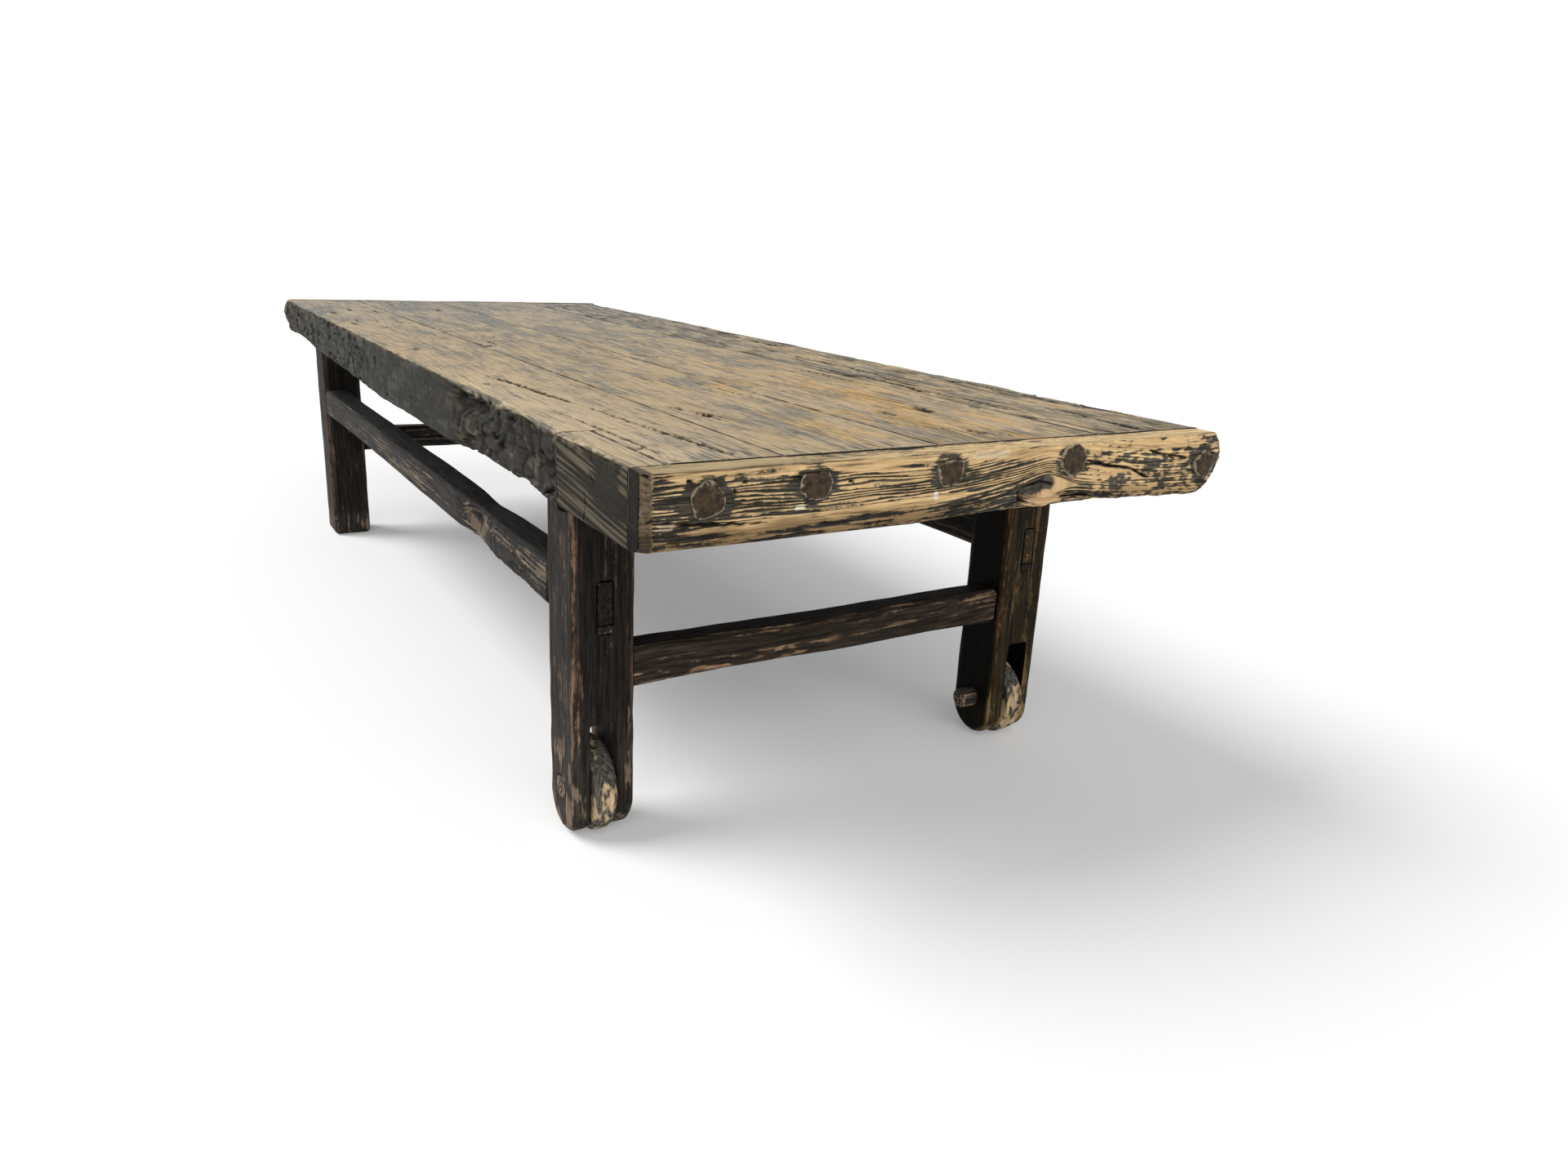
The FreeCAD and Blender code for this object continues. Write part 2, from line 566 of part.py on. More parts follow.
def leg(name, end, side):
    """Plumb leg with a stub tenon on top, a wedged through mortise and a blind mortise."""
    wheeled = end == WHEEL_END
    body = new_body(name)
    profile = outline(body, f"{name}_profile", "XZ_Plane", "0", leg_profile(wheeled))
    pad(body, profile, "Sizes.leg_width", both_ways=True)
    seat = value(LEG_SEAT)

    def arris(edge):
        return edge.BoundBox.YLength < TOUCH and edge.BoundBox.ZMin < seat - TOUCH

    wear_edges(body, f"{name}_arris", "Chamfer", "Sizes.leg_worn_edge", arris)
    tenon = rectangle(
        "-Sizes.top_tenon_depth / 2",
        "Sizes.top_tenon_depth / 2",
        "-Sizes.top_tenon_width / 2",
        "Sizes.top_tenon_width / 2",
    )
    pad(body, outline(body, f"{name}_tenon", "XY_Plane", LEG_SEAT, tenon), "Sizes.top_tenon_length")

    tenon_y = f"{side} * {LONG_TENON_Y}"
    through = rectangle(
        f"{tenon_y} - Sizes.long_tenon_thickness / 2",
        f"{tenon_y} + Sizes.long_tenon_thickness / 2",
        LONG_TENON_FOOT,
        LONG_TENON_TOP,
    )
    across_leg = "Sizes.leg_depth + 2 * Sizes.overrun"
    pocket(body, outline(body, f"{name}_through_mortise", "YZ_Plane", "0", through), across_leg)
    flare = outline(body, f"{name}_wedge_seat", "XZ_Plane", f"-{tenon_y}", wedge_outline(end))
    pocket(body, flare, "Sizes.long_tenon_thickness")

    rail_x = f"{end} * {END_STRETCHER_X}"
    blind = rectangle(
        f"{rail_x} - Sizes.end_tenon_thickness / 2",
        f"{rail_x} + Sizes.end_tenon_thickness / 2",
        f"{END_STRETCHER_Z} - Sizes.end_tenon_height / 2",
        f"{END_STRETCHER_Z} + Sizes.end_tenon_height / 2",
    )
    inner_side = f"{side} * Sizes.leg_width / 2"
    sketch = outline(body, f"{name}_blind_mortise", "XZ_Plane", inner_side, blind)
    pocket(body, sketch, "2 * (Sizes.end_tenon_length + Sizes.tenon_end_gap)")
    if wheeled:
        slot_y = f"{side} * {SLOT_MIDDLE}"
        slot = rectangle(
            f"{slot_y} - {SLOT_WIDTH} / 2",
            f"{slot_y} + {SLOT_WIDTH} / 2",
            "-Sizes.overrun",
            SLOT_TOP,
        )
        pocket(body, outline(body, f"{name}_slot", "YZ_Plane", "0", slot), across_leg)
        hole = body.newObject("Sketcher::SketchObject", f"{name}_axle_hole")
        plane = [feature for feature in body.Origin.OriginFeatures if feature.Role == "XZ_Plane"][0]
        hole.AttachmentSupport = [(plane, "")]
        hole.MapMode = "FlatFace"
        middle = FreeCAD.Vector(-value("Sizes.wheel_set_back"), value(AXLE_Z), 0)
        ring = hole.addGeometry(Part.Circle(middle, Z_AXIS, value("Sizes.peg_diameter / 2")), False)
        pin_point(hole, ring, 3, "-Sizes.wheel_set_back", AXLE_Z)
        rule = hole.addConstraint(Sketcher.Constraint("Radius", ring, value("Sizes.peg_diameter / 2")))
        hole.setExpression(f"Constraints[{rule}]", "Sizes.peg_diameter / 2")
        pocket(body, hole, "Sizes.leg_width + 2 * Sizes.overrun")
    place(body, f"{end} * {LEG_X}", f"{side} * {LEG_Y}", "0")
    return body


# Worn stretchers. Each row: place along the piece as a share of its half span, then shares of the
# wave by which the upper face, the lower face and the outer face fall back there.
LONG_STRETCHER_SHARES = [
    (-1.00, 0.00, 0.00, 0.00),
    (-0.72, 0.25, 0.10, 0.20),
    (-0.40, 0.10, 0.40, 0.10),
    (-0.12, 0.40, 0.20, 0.25),
    (0.22, 0.15, 0.45, 0.05),
    (0.45, 0.30, 0.25, 0.20),
    (0.56, 0.75, 0.20, 1.00),
    (0.70, 0.25, 0.05, 0.20),
    (1.00, 0.00, 0.00, 0.00),
]
END_STRETCHER_SHARES = [
    (-1.00, 0.00, 0.00, 0.00),
    (-0.55, 0.10, 0.15, 0.15),
    (0.05, 0.22, 0.00, 0.05),
    (0.60, 0.05, 0.10, 0.18),
    (1.00, 0.00, 0.00, 0.00),
]


def stretcher_section(side, height, width, upper, lower, outer):
    """Rectangle with worn corners about the stretcher's own axis, its outer face towards `side`."""
    high = f"({height} / 2 - {upper} * Sizes.stretcher_wave)"
    low = f"({lower} * Sizes.stretcher_wave - {height} / 2)"
    face = f"{side} * ({width} / 2 - {outer} * Sizes.stretcher_wave)"
    rear = f"-{side} * {width} / 2"
    worn = "Sizes.stretcher_worn_edge"
    return [
        (f"{rear} + {side} * {worn}", low),
        (f"{face} - {side} * {worn}", low),
        (face, f"{low} + {worn}"),
        (face, f"{high} - {worn}"),
        (f"{face} - {side} * {worn}", high),
        (f"{rear} + {side} * {worn}", high),
        (rear, f"{high} - {worn}"),
        (rear, f"{low} + {worn}"),
    ]


def stretcher(name, side, half_span, height, width, shares, tenon, tenon_length):
    """Worn bar along its own X axis with a tenon on each end."""
    body = new_body(name)
    sections = []
    for number, (along, *wear) in enumerate(shares, 1):
        path = stretcher_section(side, height, width, *wear)
        lift = f"{along} * {half_span}"
        sections.append(outline(body, f"{name}_section_{number}", "YZ_Plane", lift, path))
    ruled_loft(body, f"{name}_loft", sections)
    for end, label in ((1, "first"), (-1, "last")):
        lift = f"{end} * {half_span}"
        sketch = outline(body, f"{name}_{label}_tenon", "YZ_Plane", lift, tenon)
        pad(body, sketch, tenon_length, backwards=end < 0)
    return body


def long_stretcher(name, side):
    """Its outer face is flush with the legs, and its tenons show on the legs' end faces."""
    middle_z = f"({LONG_TENON_FOOT} + Sizes.long_stretcher_height / 2)"
    middle_y = "(Sizes.leg_width / 2 - Sizes.long_stretcher_width / 2)"
    offset = f"{side} * ({LONG_TENON_Y} - {middle_y})"
    tenon = rectangle(
        f"{offset} - Sizes.long_tenon_thickness / 2",
        f"{offset} + Sizes.long_tenon_thickness / 2",
        f"{LONG_TENON_FOOT} - {middle_z}",
        f"{LONG_TENON_TOP} - {middle_z}",
    )
    half_span = f"({LEG_X} - Sizes.leg_depth / 2)"
    body = stretcher(
        name, side, half_span, "Sizes.long_stretcher_height", "Sizes.long_stretcher_width",
        LONG_STRETCHER_SHARES, tenon, "Sizes.leg_depth",
    )
    place(body, "0", f"{side} * ({LEG_Y} + {middle_y})", middle_z)
    return body


def end_stretcher(name, end):
    """Lower bar between two legs, set back from their end faces, with blind tenons."""
    tenon = rectangle(
        "-Sizes.end_tenon_thickness / 2",
        "Sizes.end_tenon_thickness / 2",
        "-Sizes.end_tenon_height / 2",
        "Sizes.end_tenon_height / 2",
    )
    half_span = f"({LEG_Y} - Sizes.leg_width / 2)"
    body = stretcher(
        name, -end, half_span, "Sizes.end_stretcher_height", "Sizes.end_stretcher_width",
        END_STRETCHER_SHARES, tenon, "Sizes.end_tenon_length",
    )
    turn(body, Z_AXIS, QUARTER)
    place(body, f"{end} * ({LEG_X} + {END_STRETCHER_X})", "0", END_STRETCHER_Z)
    return body


def tenon_wedges(name):
    """Four wedges, one under each through tenon."""
    wedges = []
    for end, end_name in END_NAMES.items():
        for side, side_name in SIDE_NAMES.items():
            label = f"{name}_{side_name}_{end_name}"
            body = new_body(label)
            sketch = outline(body, f"{label}_outline", "XZ_Plane", "0", wedge_outline(end))
            pad(body, sketch, "Sizes.long_tenon_thickness", both_ways=True)
            place(body, f"{end} * {LEG_X}", f"{side} * ({LEG_Y} + {LONG_TENON_Y})", "0")
            wedges.append(body)
    return group(name, wedges)


def revolve(body, sketch):
    feature = body.newObject("PartDesign::Revolution", f"{sketch.Name}_turned")
    feature.Profile = sketch
    feature.ReferenceAxis = (sketch, ["H_Axis"])
    feature.Angle = FULL_TURN
    sketch.Visibility = False
    return feature


def wheel(name, side):
    """Turned disc with worn shoulders beside its tread, bored to run on its peg."""
    body = new_body(name)
    half = "Sizes.wheel_thickness / 2"
    bore = "Sizes.peg_diameter / 2 + Sizes.peg_running_gap"
    tread = "Sizes.wheel_diameter / 2"
    shoulder = f"{tread} - Sizes.wheel_crown"
    flat = "Sizes.wheel_tread / 2"
    path = rectangle(f"-{half}", half, bore, shoulder)[:2]
    path += [(half, shoulder), (flat, tread), (f"-{flat}", tread), (f"-{half}", shoulder)]
    revolve(body, outline(body, f"{name}_profile", "YZ_Plane", "0", path))
    place(body, AXLE_X, f"{side} * ({LEG_Y} + {SLOT_MIDDLE})", AXLE_Z)
    return body


def axle_peg(name, side, reach):
    """Peg driven through both cheeks: flush outside, standing out inside with a worn end."""
    body = new_body(name)
    outer = f"{side} * Sizes.leg_width / 2"
    inner = f"-{side} * (Sizes.leg_width / 2 + {reach})"
    radius = "Sizes.peg_diameter / 2"
    path = [
        (outer, "0"),
        (outer, radius),
        (f"{inner} + {side} * Sizes.peg_end_wear", radius),
        (inner, f"{radius} - Sizes.peg_end_wear"),
        (inner, "0"),
    ]
    revolve(body, outline(body, f"{name}_profile", "YZ_Plane", "0", path))
    place(body, AXLE_X, f"{side} * {LEG_Y}", AXLE_Z)
    return body


# The top: nails and tongues first, because the planks and boards are cut to fit them.
wheel_end_nails = nail_row("wheel_end_nails", WHEEL_END)
plain_end_nails = nail_row("plain_end_nails", PLAIN_END)
front_tongues = tongue_row("front_seam_tongues", FRONT_SEAM)
middle_tongues = tongue_row("middle_seam_tongues", MIDDLE_SEAM)
back_tongues = tongue_row("back_seam_tongues", BACK_SEAM)
all_nails = [wheel_end_nails, plain_end_nails]

sockets = {FRONT: [], BACK: []}
for side, side_name in SIDE_NAMES.items():
    for end, end_name in END_NAMES.items():
        sockets[side] += leg_socket(f"{side_name}_{end_name}_socket", end, side)

front_blank = edge_plank("front_edge_plank", FRONT, FRONT_SEAM, FRONT_PLANK_SHARES)
front_middle_blank = middle_plank("front_middle_plank", FRONT_SEAM, MIDDLE_SEAM)
back_middle_blank = middle_plank("back_middle_plank", MIDDLE_SEAM, BACK_SEAM)
back_blank = edge_plank("back_edge_plank", BACK, BACK_SEAM, BACK_PLANK_SHARES)
patch_space = solid_box(
    "patch_space",
    "Sizes.patch_length",
    "Sizes.patch_width",
    "(Sizes.slab_depth + Sizes.plank_belly + 2 * Sizes.overrun)",
    f"({PLANK_END} - Sizes.patch_length / 2)",
    f"(Sizes.patch_width / 2 - {HALF_WIDTH})",
    f"({SLAB_FOOT} - Sizes.plank_belly - Sizes.overrun)",
)
old_slot = solid_box(
    "old_slot",
    "Sizes.old_slot_length",
    "(2 * Sizes.old_slot_depth)",
    "Sizes.old_slot_height",
    f"{OLD_SLOT_SHARES[0]} * {PLANK_END}",
    f"-{HALF_WIDTH}",
    f"Sizes.table_height - {OLD_SLOT_SHARES[1]} * Sizes.slab_depth - Sizes.old_slot_height / 2",
)

front_cutters = all_nails + [front_tongues, patch_space, old_slot]

nodes = [
    cut("front_edge_plank", front_blank, front_cutters + sockets[FRONT]),
    cut("front_middle_plank", front_middle_blank, all_nails + [front_tongues, middle_tongues]),
    cut("back_middle_plank", back_middle_blank, all_nails + [middle_tongues, back_tongues]),
    cut("back_edge_plank", back_blank, all_nails + [back_tongues] + sockets[BACK]),
    corner_patch("corner_patch"),
    end_board("wheel_end_board", WHEEL_END, FRONT, wheel_end_nails),
    end_board("plain_end_board", PLAIN_END, BACK, plain_end_nails),
    wheel_end_nails,
    plain_end_nails,
    front_tongues,
    middle_tongues,
    back_tongues,
    leg("front_wheel_leg", WHEEL_END, FRONT),
    leg("back_wheel_leg", WHEEL_END, BACK),
    leg("front_plain_leg", PLAIN_END, FRONT),
    leg("back_plain_leg", PLAIN_END, BACK),
    long_stretcher("front_long_stretcher", FRONT),
    long_stretcher("back_long_stretcher", BACK),
    end_stretcher("wheel_end_stretcher", WHEEL_END),
    end_stretcher("plain_end_stretcher", PLAIN_END),
    tenon_wedges("tenon_wedges"),
    wheel("front_wheel", FRONT),
    wheel("back_wheel", BACK),
    axle_peg("front_axle_peg", FRONT, "Sizes.front_peg_reach"),
    axle_peg("back_axle_peg", BACK, "Sizes.back_peg_reach"),
]

doc.recompute()
for thing in doc.Objects:
    if "Invalid" in thing.State or "Error" in thing.State:
        raise RuntimeError(f"{thing.Label} did not build: {thing.State}")
for node in nodes:
    if node.Shape.isNull() or not node.Shape.isValid() or not node.Shape.Solids:
        raise RuntimeError(f"{node.Label} is not a valid solid")

os.makedirs("parts", exist_ok=True)
for node in nodes:
    node.Shape.exportStep(f"parts/{node.Label}.step")
    print(f"{node.Label}: {len(node.Shape.Solids)} solid(s), {node.Shape.Volume / LITRE:.3f} l")
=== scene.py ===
import itertools
import math

import bmesh
import bpy
import numpy as np
from mathutils import Matrix, Vector


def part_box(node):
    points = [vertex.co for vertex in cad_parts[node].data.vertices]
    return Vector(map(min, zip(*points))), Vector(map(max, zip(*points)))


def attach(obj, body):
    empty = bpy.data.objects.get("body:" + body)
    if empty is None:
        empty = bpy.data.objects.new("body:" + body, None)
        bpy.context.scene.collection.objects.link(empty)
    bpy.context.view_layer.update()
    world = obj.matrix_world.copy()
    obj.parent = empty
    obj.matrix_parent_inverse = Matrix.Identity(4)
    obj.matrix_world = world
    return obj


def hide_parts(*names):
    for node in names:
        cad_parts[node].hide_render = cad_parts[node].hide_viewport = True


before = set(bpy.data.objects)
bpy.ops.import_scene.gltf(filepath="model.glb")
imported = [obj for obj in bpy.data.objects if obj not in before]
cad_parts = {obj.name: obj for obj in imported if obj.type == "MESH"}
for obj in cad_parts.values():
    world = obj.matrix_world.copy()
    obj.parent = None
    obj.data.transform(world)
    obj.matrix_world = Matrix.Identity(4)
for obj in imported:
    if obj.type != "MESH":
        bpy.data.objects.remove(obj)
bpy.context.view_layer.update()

# The view. A wide lens looks down at the table from the front corner of its wheeled end, a little
# rolled, from about knee height. Sizes here are in metres and degrees.
LENS = 25.1
SENSOR_WIDTH = 36
NEAREST, FARTHEST = 0.02, 200
CAMERA_PLACE = (1.640, -0.674, 0.6155)
CAMERA_TURN, CAMERA_DIP, CAMERA_ROLL = 57.75, 17.86, 2.95


def placed(name, data):
    """A new object in the scene."""
    added = bpy.data.objects.new(name, data)
    bpy.context.scene.collection.objects.link(added)
    return added


def camera_axes(turn, dip, roll):
    """Rotation of a camera that is turned left from +Y, dipped below the horizon and then rolled."""
    turn, dip, roll = (math.radians(angle) for angle in (turn, dip, roll))
    forward = Vector((-math.sin(turn) * math.cos(dip), math.cos(turn) * math.cos(dip), -math.sin(dip)))
    right = forward.cross(Vector((0, 0, 1))).normalized()
    level = Matrix((right, right.cross(forward), -forward)).transposed()
    return level @ Matrix.Rotation(roll, 3, "Z")


camera = placed("camera", bpy.data.cameras.new("camera"))
camera.data.lens = LENS
camera.data.sensor_width = SENSOR_WIDTH
camera.data.clip_start, camera.data.clip_end = NEAREST, FARTHEST
camera.location = CAMERA_PLACE
camera.rotation_euler = camera_axes(CAMERA_TURN, CAMERA_DIP, CAMERA_ROLL).to_euler()
bpy.context.scene.camera = camera
bpy.context.scene.view_settings.view_transform = "Standard"

# The light. An even pale sky, a soft key from over the front side, which drops the shadow behind the
# table, and a softer fill on the wheeled end. Each lamp: direction to it, strength, spread.
SKY = 0.28
LAMPS = {
    "key_lamp": ((-0.50, -0.80, 1.00), 2.74, 36),
    "fill_lamp": ((0.93, -0.25, 0.45), 1.75, 70),
}

for name, (towards, strength, spread) in LAMPS.items():
    lamp = placed(name, bpy.data.lights.new(name, "SUN"))
    lamp.data.energy = strength
    lamp.data.angle = math.radians(spread)
    lamp.rotation_euler = Vector(towards).to_track_quat("Z", "Y").to_euler()


class Signal:
    """An output of a node, which can be added, subtracted and multiplied like a number."""

    def __init__(self, socket):
        self.socket = socket
        self.tree = socket.id_data

    def __add__(self, other):
        return maths("ADD", self, other)

    def __sub__(self, other):
        return maths("SUBTRACT", self, other)

    def __mul__(self, other):
        return maths("MULTIPLY", self, other)


def node(tree, kind, inputs=None, output=0, **settings):
    """Adds a node, makes its own settings, fills its inputs with values or signals and gives an output."""
    added = tree.nodes.new(kind)
    for name, setting in settings.items():
        setattr(added, name, setting)
    for key, given in (inputs or {}).items():
        if isinstance(given, Signal):
            tree.links.new(given.socket, added.inputs[key])
        else:
            added.inputs[key].default_value = given
    return Signal(added.outputs[output]) if added.outputs else None


def maths(operation, *terms, clamp=False):
    """A sum, product or other function of signals and numbers."""
    tree = next(term.tree for term in terms if isinstance(term, Signal))
    return node(tree, "ShaderNodeMath", dict(enumerate(terms)), operation=operation, use_clamp=clamp)


def seen_directly(tree):
    """1 for what the camera sees straight, mirrored or through glass, and 0 for light that bounces."""
    ways = ("Camera", "Glossy", "Transmission")
    straight, mirrored, through = (
        node(tree, "ShaderNodeLightPath", output=f"Is {way} Ray") for way in ways
    )
    return maths("MAXIMUM", maths("MAXIMUM", straight, mirrored), through)


world = bpy.data.worlds.new("pale_sky")
world.use_nodes = True
bpy.context.scene.world = world
background = world.node_tree.nodes["Background"]
background.inputs["Color"].default_value = (1, 1, 1, 1)
sky_strength = seen_directly(world.node_tree) * (1 - SKY) + SKY
world.node_tree.links.new(sky_strength.socket, background.inputs["Strength"])

# The floor. A plain pale sheet that keeps the table's shadow. Where the camera sees it unshaded, a
# faint glow of its own lifts it to white.
FLOOR_REACH = 80
FLOOR_SHADE = 0.75
FLOOR_GLOW = 0.19


def blank(name):
    """A new material and its empty tree."""
    material = bpy.data.materials.new(name)
    material.use_nodes = True
    material.node_tree.nodes.clear()
    return material, material.node_tree


floor_finish, tree = blank("pale_floor")
matt = node(tree, "ShaderNodeBsdfDiffuse", {"Color": (FLOOR_SHADE, FLOOR_SHADE, FLOOR_SHADE, 1)})
glow = node(tree, "ShaderNodeEmission", {"Strength": seen_directly(tree) * FLOOR_GLOW})
node(tree, "ShaderNodeOutputMaterial", {"Surface": node(tree, "ShaderNodeAddShader", {0: matt, 1: glow})})

floor_mesh = bpy.data.meshes.new("floor")
corners = [(x * FLOOR_REACH, y * FLOOR_REACH, 0) for x, y in ((-1, -1), (1, -1), (1, 1), (-1, 1))]
floor_mesh.from_pydata(corners, [], [(0, 1, 2, 3)])
floor_mesh.materials.append(floor_finish)
floor = placed("floor", floor_mesh)

# Front edge plank: a thick elm board with one worn natural edge. Its side is burled and black with
# age, its upper arris is gnawed away in two places, and an old mortise shows in the side.
# Sizes of the pieces are in millimetres from here on.
MM = 0.001
LATTICE = 256
lattice_draw = np.random.default_rng(11)
shuffled = lattice_draw.permutation(LATTICE)
slopes = lattice_draw.normal(size=(LATTICE, 3))
slopes /= np.linalg.norm(slopes, axis=1, keepdims=True)
SEED_STEP = 37.7
NOISE_GAIN = 1.7
RING_PITCH = 4.2
PITH = (-30, 60)
BLUNT_END, TAPERING = 0.25, 5
CRACK_RAGGED = 9


def noise(spots, lump, seed=0):
    """Smooth noise from about -1 to 1, whose lumps are `lump` millimetres long in x, y and z."""
    places = spots / np.array(lump, float) + seed * SEED_STEP
    cells = np.floor(places).astype(int)
    inside = places - cells
    fade = inside**3 * (inside * (inside * 6 - 15) + 10)
    total = np.zeros(len(spots))
    for corner in itertools.product((0, 1), repeat=3):
        key = (cells + corner) % LATTICE
        row = shuffled[(shuffled[key[:, 0]] + key[:, 1]) % LATTICE]
        slope = slopes[shuffled[(row + key[:, 2]) % LATTICE]]
        weight = np.prod(np.where(np.array(corner) == 1, fade, 1 - fade), axis=1)
        total += weight * ((inside - corner) * slope).sum(axis=1)
    return total * NOISE_GAIN


def layered(spots, lump, layers, seed=0):
    """Noise with finer and weaker layers on top of it, each half the size of the one before."""
    total = np.zeros(len(spots))
    for layer in range(layers):
        total += noise(spots, np.array(lump, float) / 2**layer, seed + layer) / 2**layer
    return total


def drift(spots, lump, seed):
    """Noise in each of the three directions."""
    return np.stack([noise(spots, lump, seed + axis) for axis in range(3)], axis=1)


def veins(spots, lump, seed, sharpness, power=1):
    """1 along the lines where noise changes its sign, falling away to 0 on both sides."""
    return np.clip(1 - np.abs(noise(spots, lump, seed)) * sharpness, 0, 1) ** power


def wavering(along, lump, seed):
    """Noise along one line."""
    return noise(np.stack([along, along * 0, along * 0], axis=1), (lump, 1, 1), seed)


def step(values, low, high):
    """Eases from 0 at `low` to 1 at `high`."""
    share = np.clip((values - low) / (high - low), 0, 1)
    return share * share * (3 - 2 * share)


def between(values, start, full, fading, end):
    """Eases from 0 at `start` to 1 at `full`, and from 1 at `fading` back to 0 at `end`."""
    return step(values, start, full) * step(-values, -end, -fading)


def near(values, middle, reach, power=2):
    """1 at the middle, falling away within the reach on both sides."""
    return np.exp(-(np.abs((values - middle) / reach) ** power))


def crowded(low, high, count, crowding=0.3):
    """Places from low to high that stand closer together towards the high end."""
    share = np.linspace(0, 1, count)
    return low + (high - low) * share * (1 + crowding - crowding * share)


def node_box(name):
    """Lowest and highest corner of a CAD node, in millimetres."""
    return tuple(np.array(corner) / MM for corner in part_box(name))


def sections(name, places, axis=0):
    """Lowest and highest corner of a CAD node's section at each place along one axis."""
    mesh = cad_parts[name].data
    spots = np.array([vertex.co for vertex in mesh.vertices]) / MM
    ends = np.array([edge.vertices for edge in mesh.edges])
    first, second = spots[ends[:, 0]], spots[ends[:, 1]]
    run = second[:, axis] - first[:, axis]
    corners = []
    for place in places:
        share = (place - first[:, axis]) / np.where(run == 0, np.inf, run)
        met = (run != 0) & (share >= 0) & (share <= 1)
        crossed = first[met] + share[met, None] * (second - first)[met]
        corners.append((crossed.min(axis=0), crossed.max(axis=0)))
    return np.array(corners).transpose(1, 0, 2)


def bar(along, low, high, foot, top, steps, rounds):
    """Rings of points round a bar, from its two sides, foot and top at each place along it.

    `steps` is the spacing of the points on the top, the high side, the foot and the low side.
    `rounds` is the radius of the arrises after each of those four faces.
    """
    sizes = (low, high, foot, top, *rounds)
    low, high, foot, top, *rounds = (np.broadcast_to(size, along.shape)[:, None] for size in sizes)
    faces = []
    for side, spacing in enumerate(steps):
        span = (high - low, top - foot)[side % 2]
        count = max(2, round(float(span.max()) / spacing))
        reach = span * (np.arange(count) / count)[None, :]
        left = span - reach
        before, after = rounds[side - 1], rounds[side]
        run, dip = reach, np.zeros_like(reach)
        angle = math.pi / 4 * (1 + reach / before)
        run = np.where(reach < before, before * (1 - np.cos(angle)), run)
        dip = np.where(reach < before, before * (1 - np.sin(angle)), dip)
        angle = math.pi / 4 * (1 + left / after)
        run = np.where(left < after, span - after * (1 - np.cos(angle)), run)
        dip = np.where(left < after, after * (1 - np.sin(angle)), dip)
        across, up = (
            (low + run, top - dip),
            (high - dip, top - run),
            (high - run, foot + dip),
            (low + dip, foot + run),
        )[side]
        faces.append(np.stack([np.broadcast_to(along[:, None], run.shape), across, up], axis=-1))
    return closed(np.concatenate(faces, axis=1))


def closed(rings, shares=(0.985, 0.95, 0.88, 0.8, 0.7, 0.6, 0.5, 0.4, 0.3, 0.2, 0.1)):
    """The rings with smaller ones inside both ends, so that the end faces have points of their own."""
    middles = rings[[0, -1]].mean(axis=1, keepdims=True)
    inside_low = [middles[0] + (rings[0] - middles[0]) * share for share in reversed(shares)]
    inside_high = [middles[1] + (rings[-1] - middles[1]) * share for share in shares]
    return np.concatenate([inside_low, rings, inside_high])


ALONG_TABLE = np.eye(3)


def skin(name, rings, finish, turn=ALONG_TABLE):
    """Closed mesh over the rings. `turn` takes along, across and up to the table's x, y and z."""
    rows, columns, _ = rings.shape
    index = np.arange(rows * columns).reshape(rows, columns)
    turned = np.roll(index, -1, axis=1)
    faces = np.stack([index[:-1], index[1:], turned[1:], turned[:-1]], axis=-1).reshape(-1, 4).tolist()
    low_middle, high_middle = rows * columns, rows * columns + 1
    faces += [(low_middle, a, b) for a, b in zip(index[0].tolist(), turned[0].tolist())]
    faces += [(high_middle, b, a) for a, b in zip(index[-1].tolist(), turned[-1].tolist())]
    spots = np.concatenate([rings.reshape(-1, 3), rings[[0, -1]].mean(axis=1)]) @ np.array(turn).T
    mesh = bpy.data.meshes.new(name)
    mesh.from_pydata((spots * MM).tolist(), [], faces)
    mesh.shade_smooth()
    mesh.materials.append(finish)
    return placed(name, mesh)


def growth_rings(grain, pith=PITH, pitch=RING_PITCH, shake=0.9, seed=5):
    """How many years' growth lie between each spot of the grain and the pith, which runs along it."""
    years = np.hypot(grain[:, 1] - pith[0], grain[:, 2] - pith[1]) / pitch
    return years + shake * (noise(grain, (300, 34, 60), seed) + 0.35 * noise(grain, (90, 12, 30), seed + 1))


def weather(piece, wear, node_name):
    """Wears a dense mesh back along its normals, within the box of its CAD node, and stores its traits.

    `wear` takes spots in millimetres and their normals, and gives the depth and the traits.
    """
    mesh = piece.data
    count = len(mesh.vertices)
    spots, normals = np.empty(count * 3), np.empty(count * 3)
    mesh.vertices.foreach_get("co", spots)
    mesh.vertex_normals.foreach_get("vector", normals)
    spots, normals = spots.reshape(-1, 3) / MM, normals.reshape(-1, 3)
    depth, traits = wear(spots, normals)
    worn = np.clip(spots - normals * depth[:, None], *node_box(node_name))
    mesh.vertices.foreach_set("co", (worn * MM).ravel())
    mesh.update()
    traits = {
        "growth": growth_rings(traits["grain"]), "lined": np.ones(count), "tint": np.ones((count, 3)),
        **traits, "grain": traits["grain"] * MM,
    }
    for trait, values in traits.items():
        kind, field = ("FLOAT_VECTOR", "vector") if values.ndim == 2 else ("FLOAT", "value")
        mesh.attributes.new(trait, kind, "POINT").data.foreach_set(field, values.astype(np.float32).ravel())


def settle(piece, body, slot_name, *nodes, wear=None):
    """Wears the piece, which moves with its body, and stands for its node. `slot_name` is not used."""
    if wear:
        weather(piece, wear, *nodes)
    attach(piece, body)
    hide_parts(*nodes)


def drawn(plane, lines):
    """Cracks for cracks(), each from its half width, its depth and pairs of places on a plane."""
    axis, level = plane
    return [
        (half_width, deepest, *np.insert(np.reshape(pairs, (-1, 2)).astype(float), axis, level, axis=1))
        for half_width, deepest, *pairs in lines
    ]


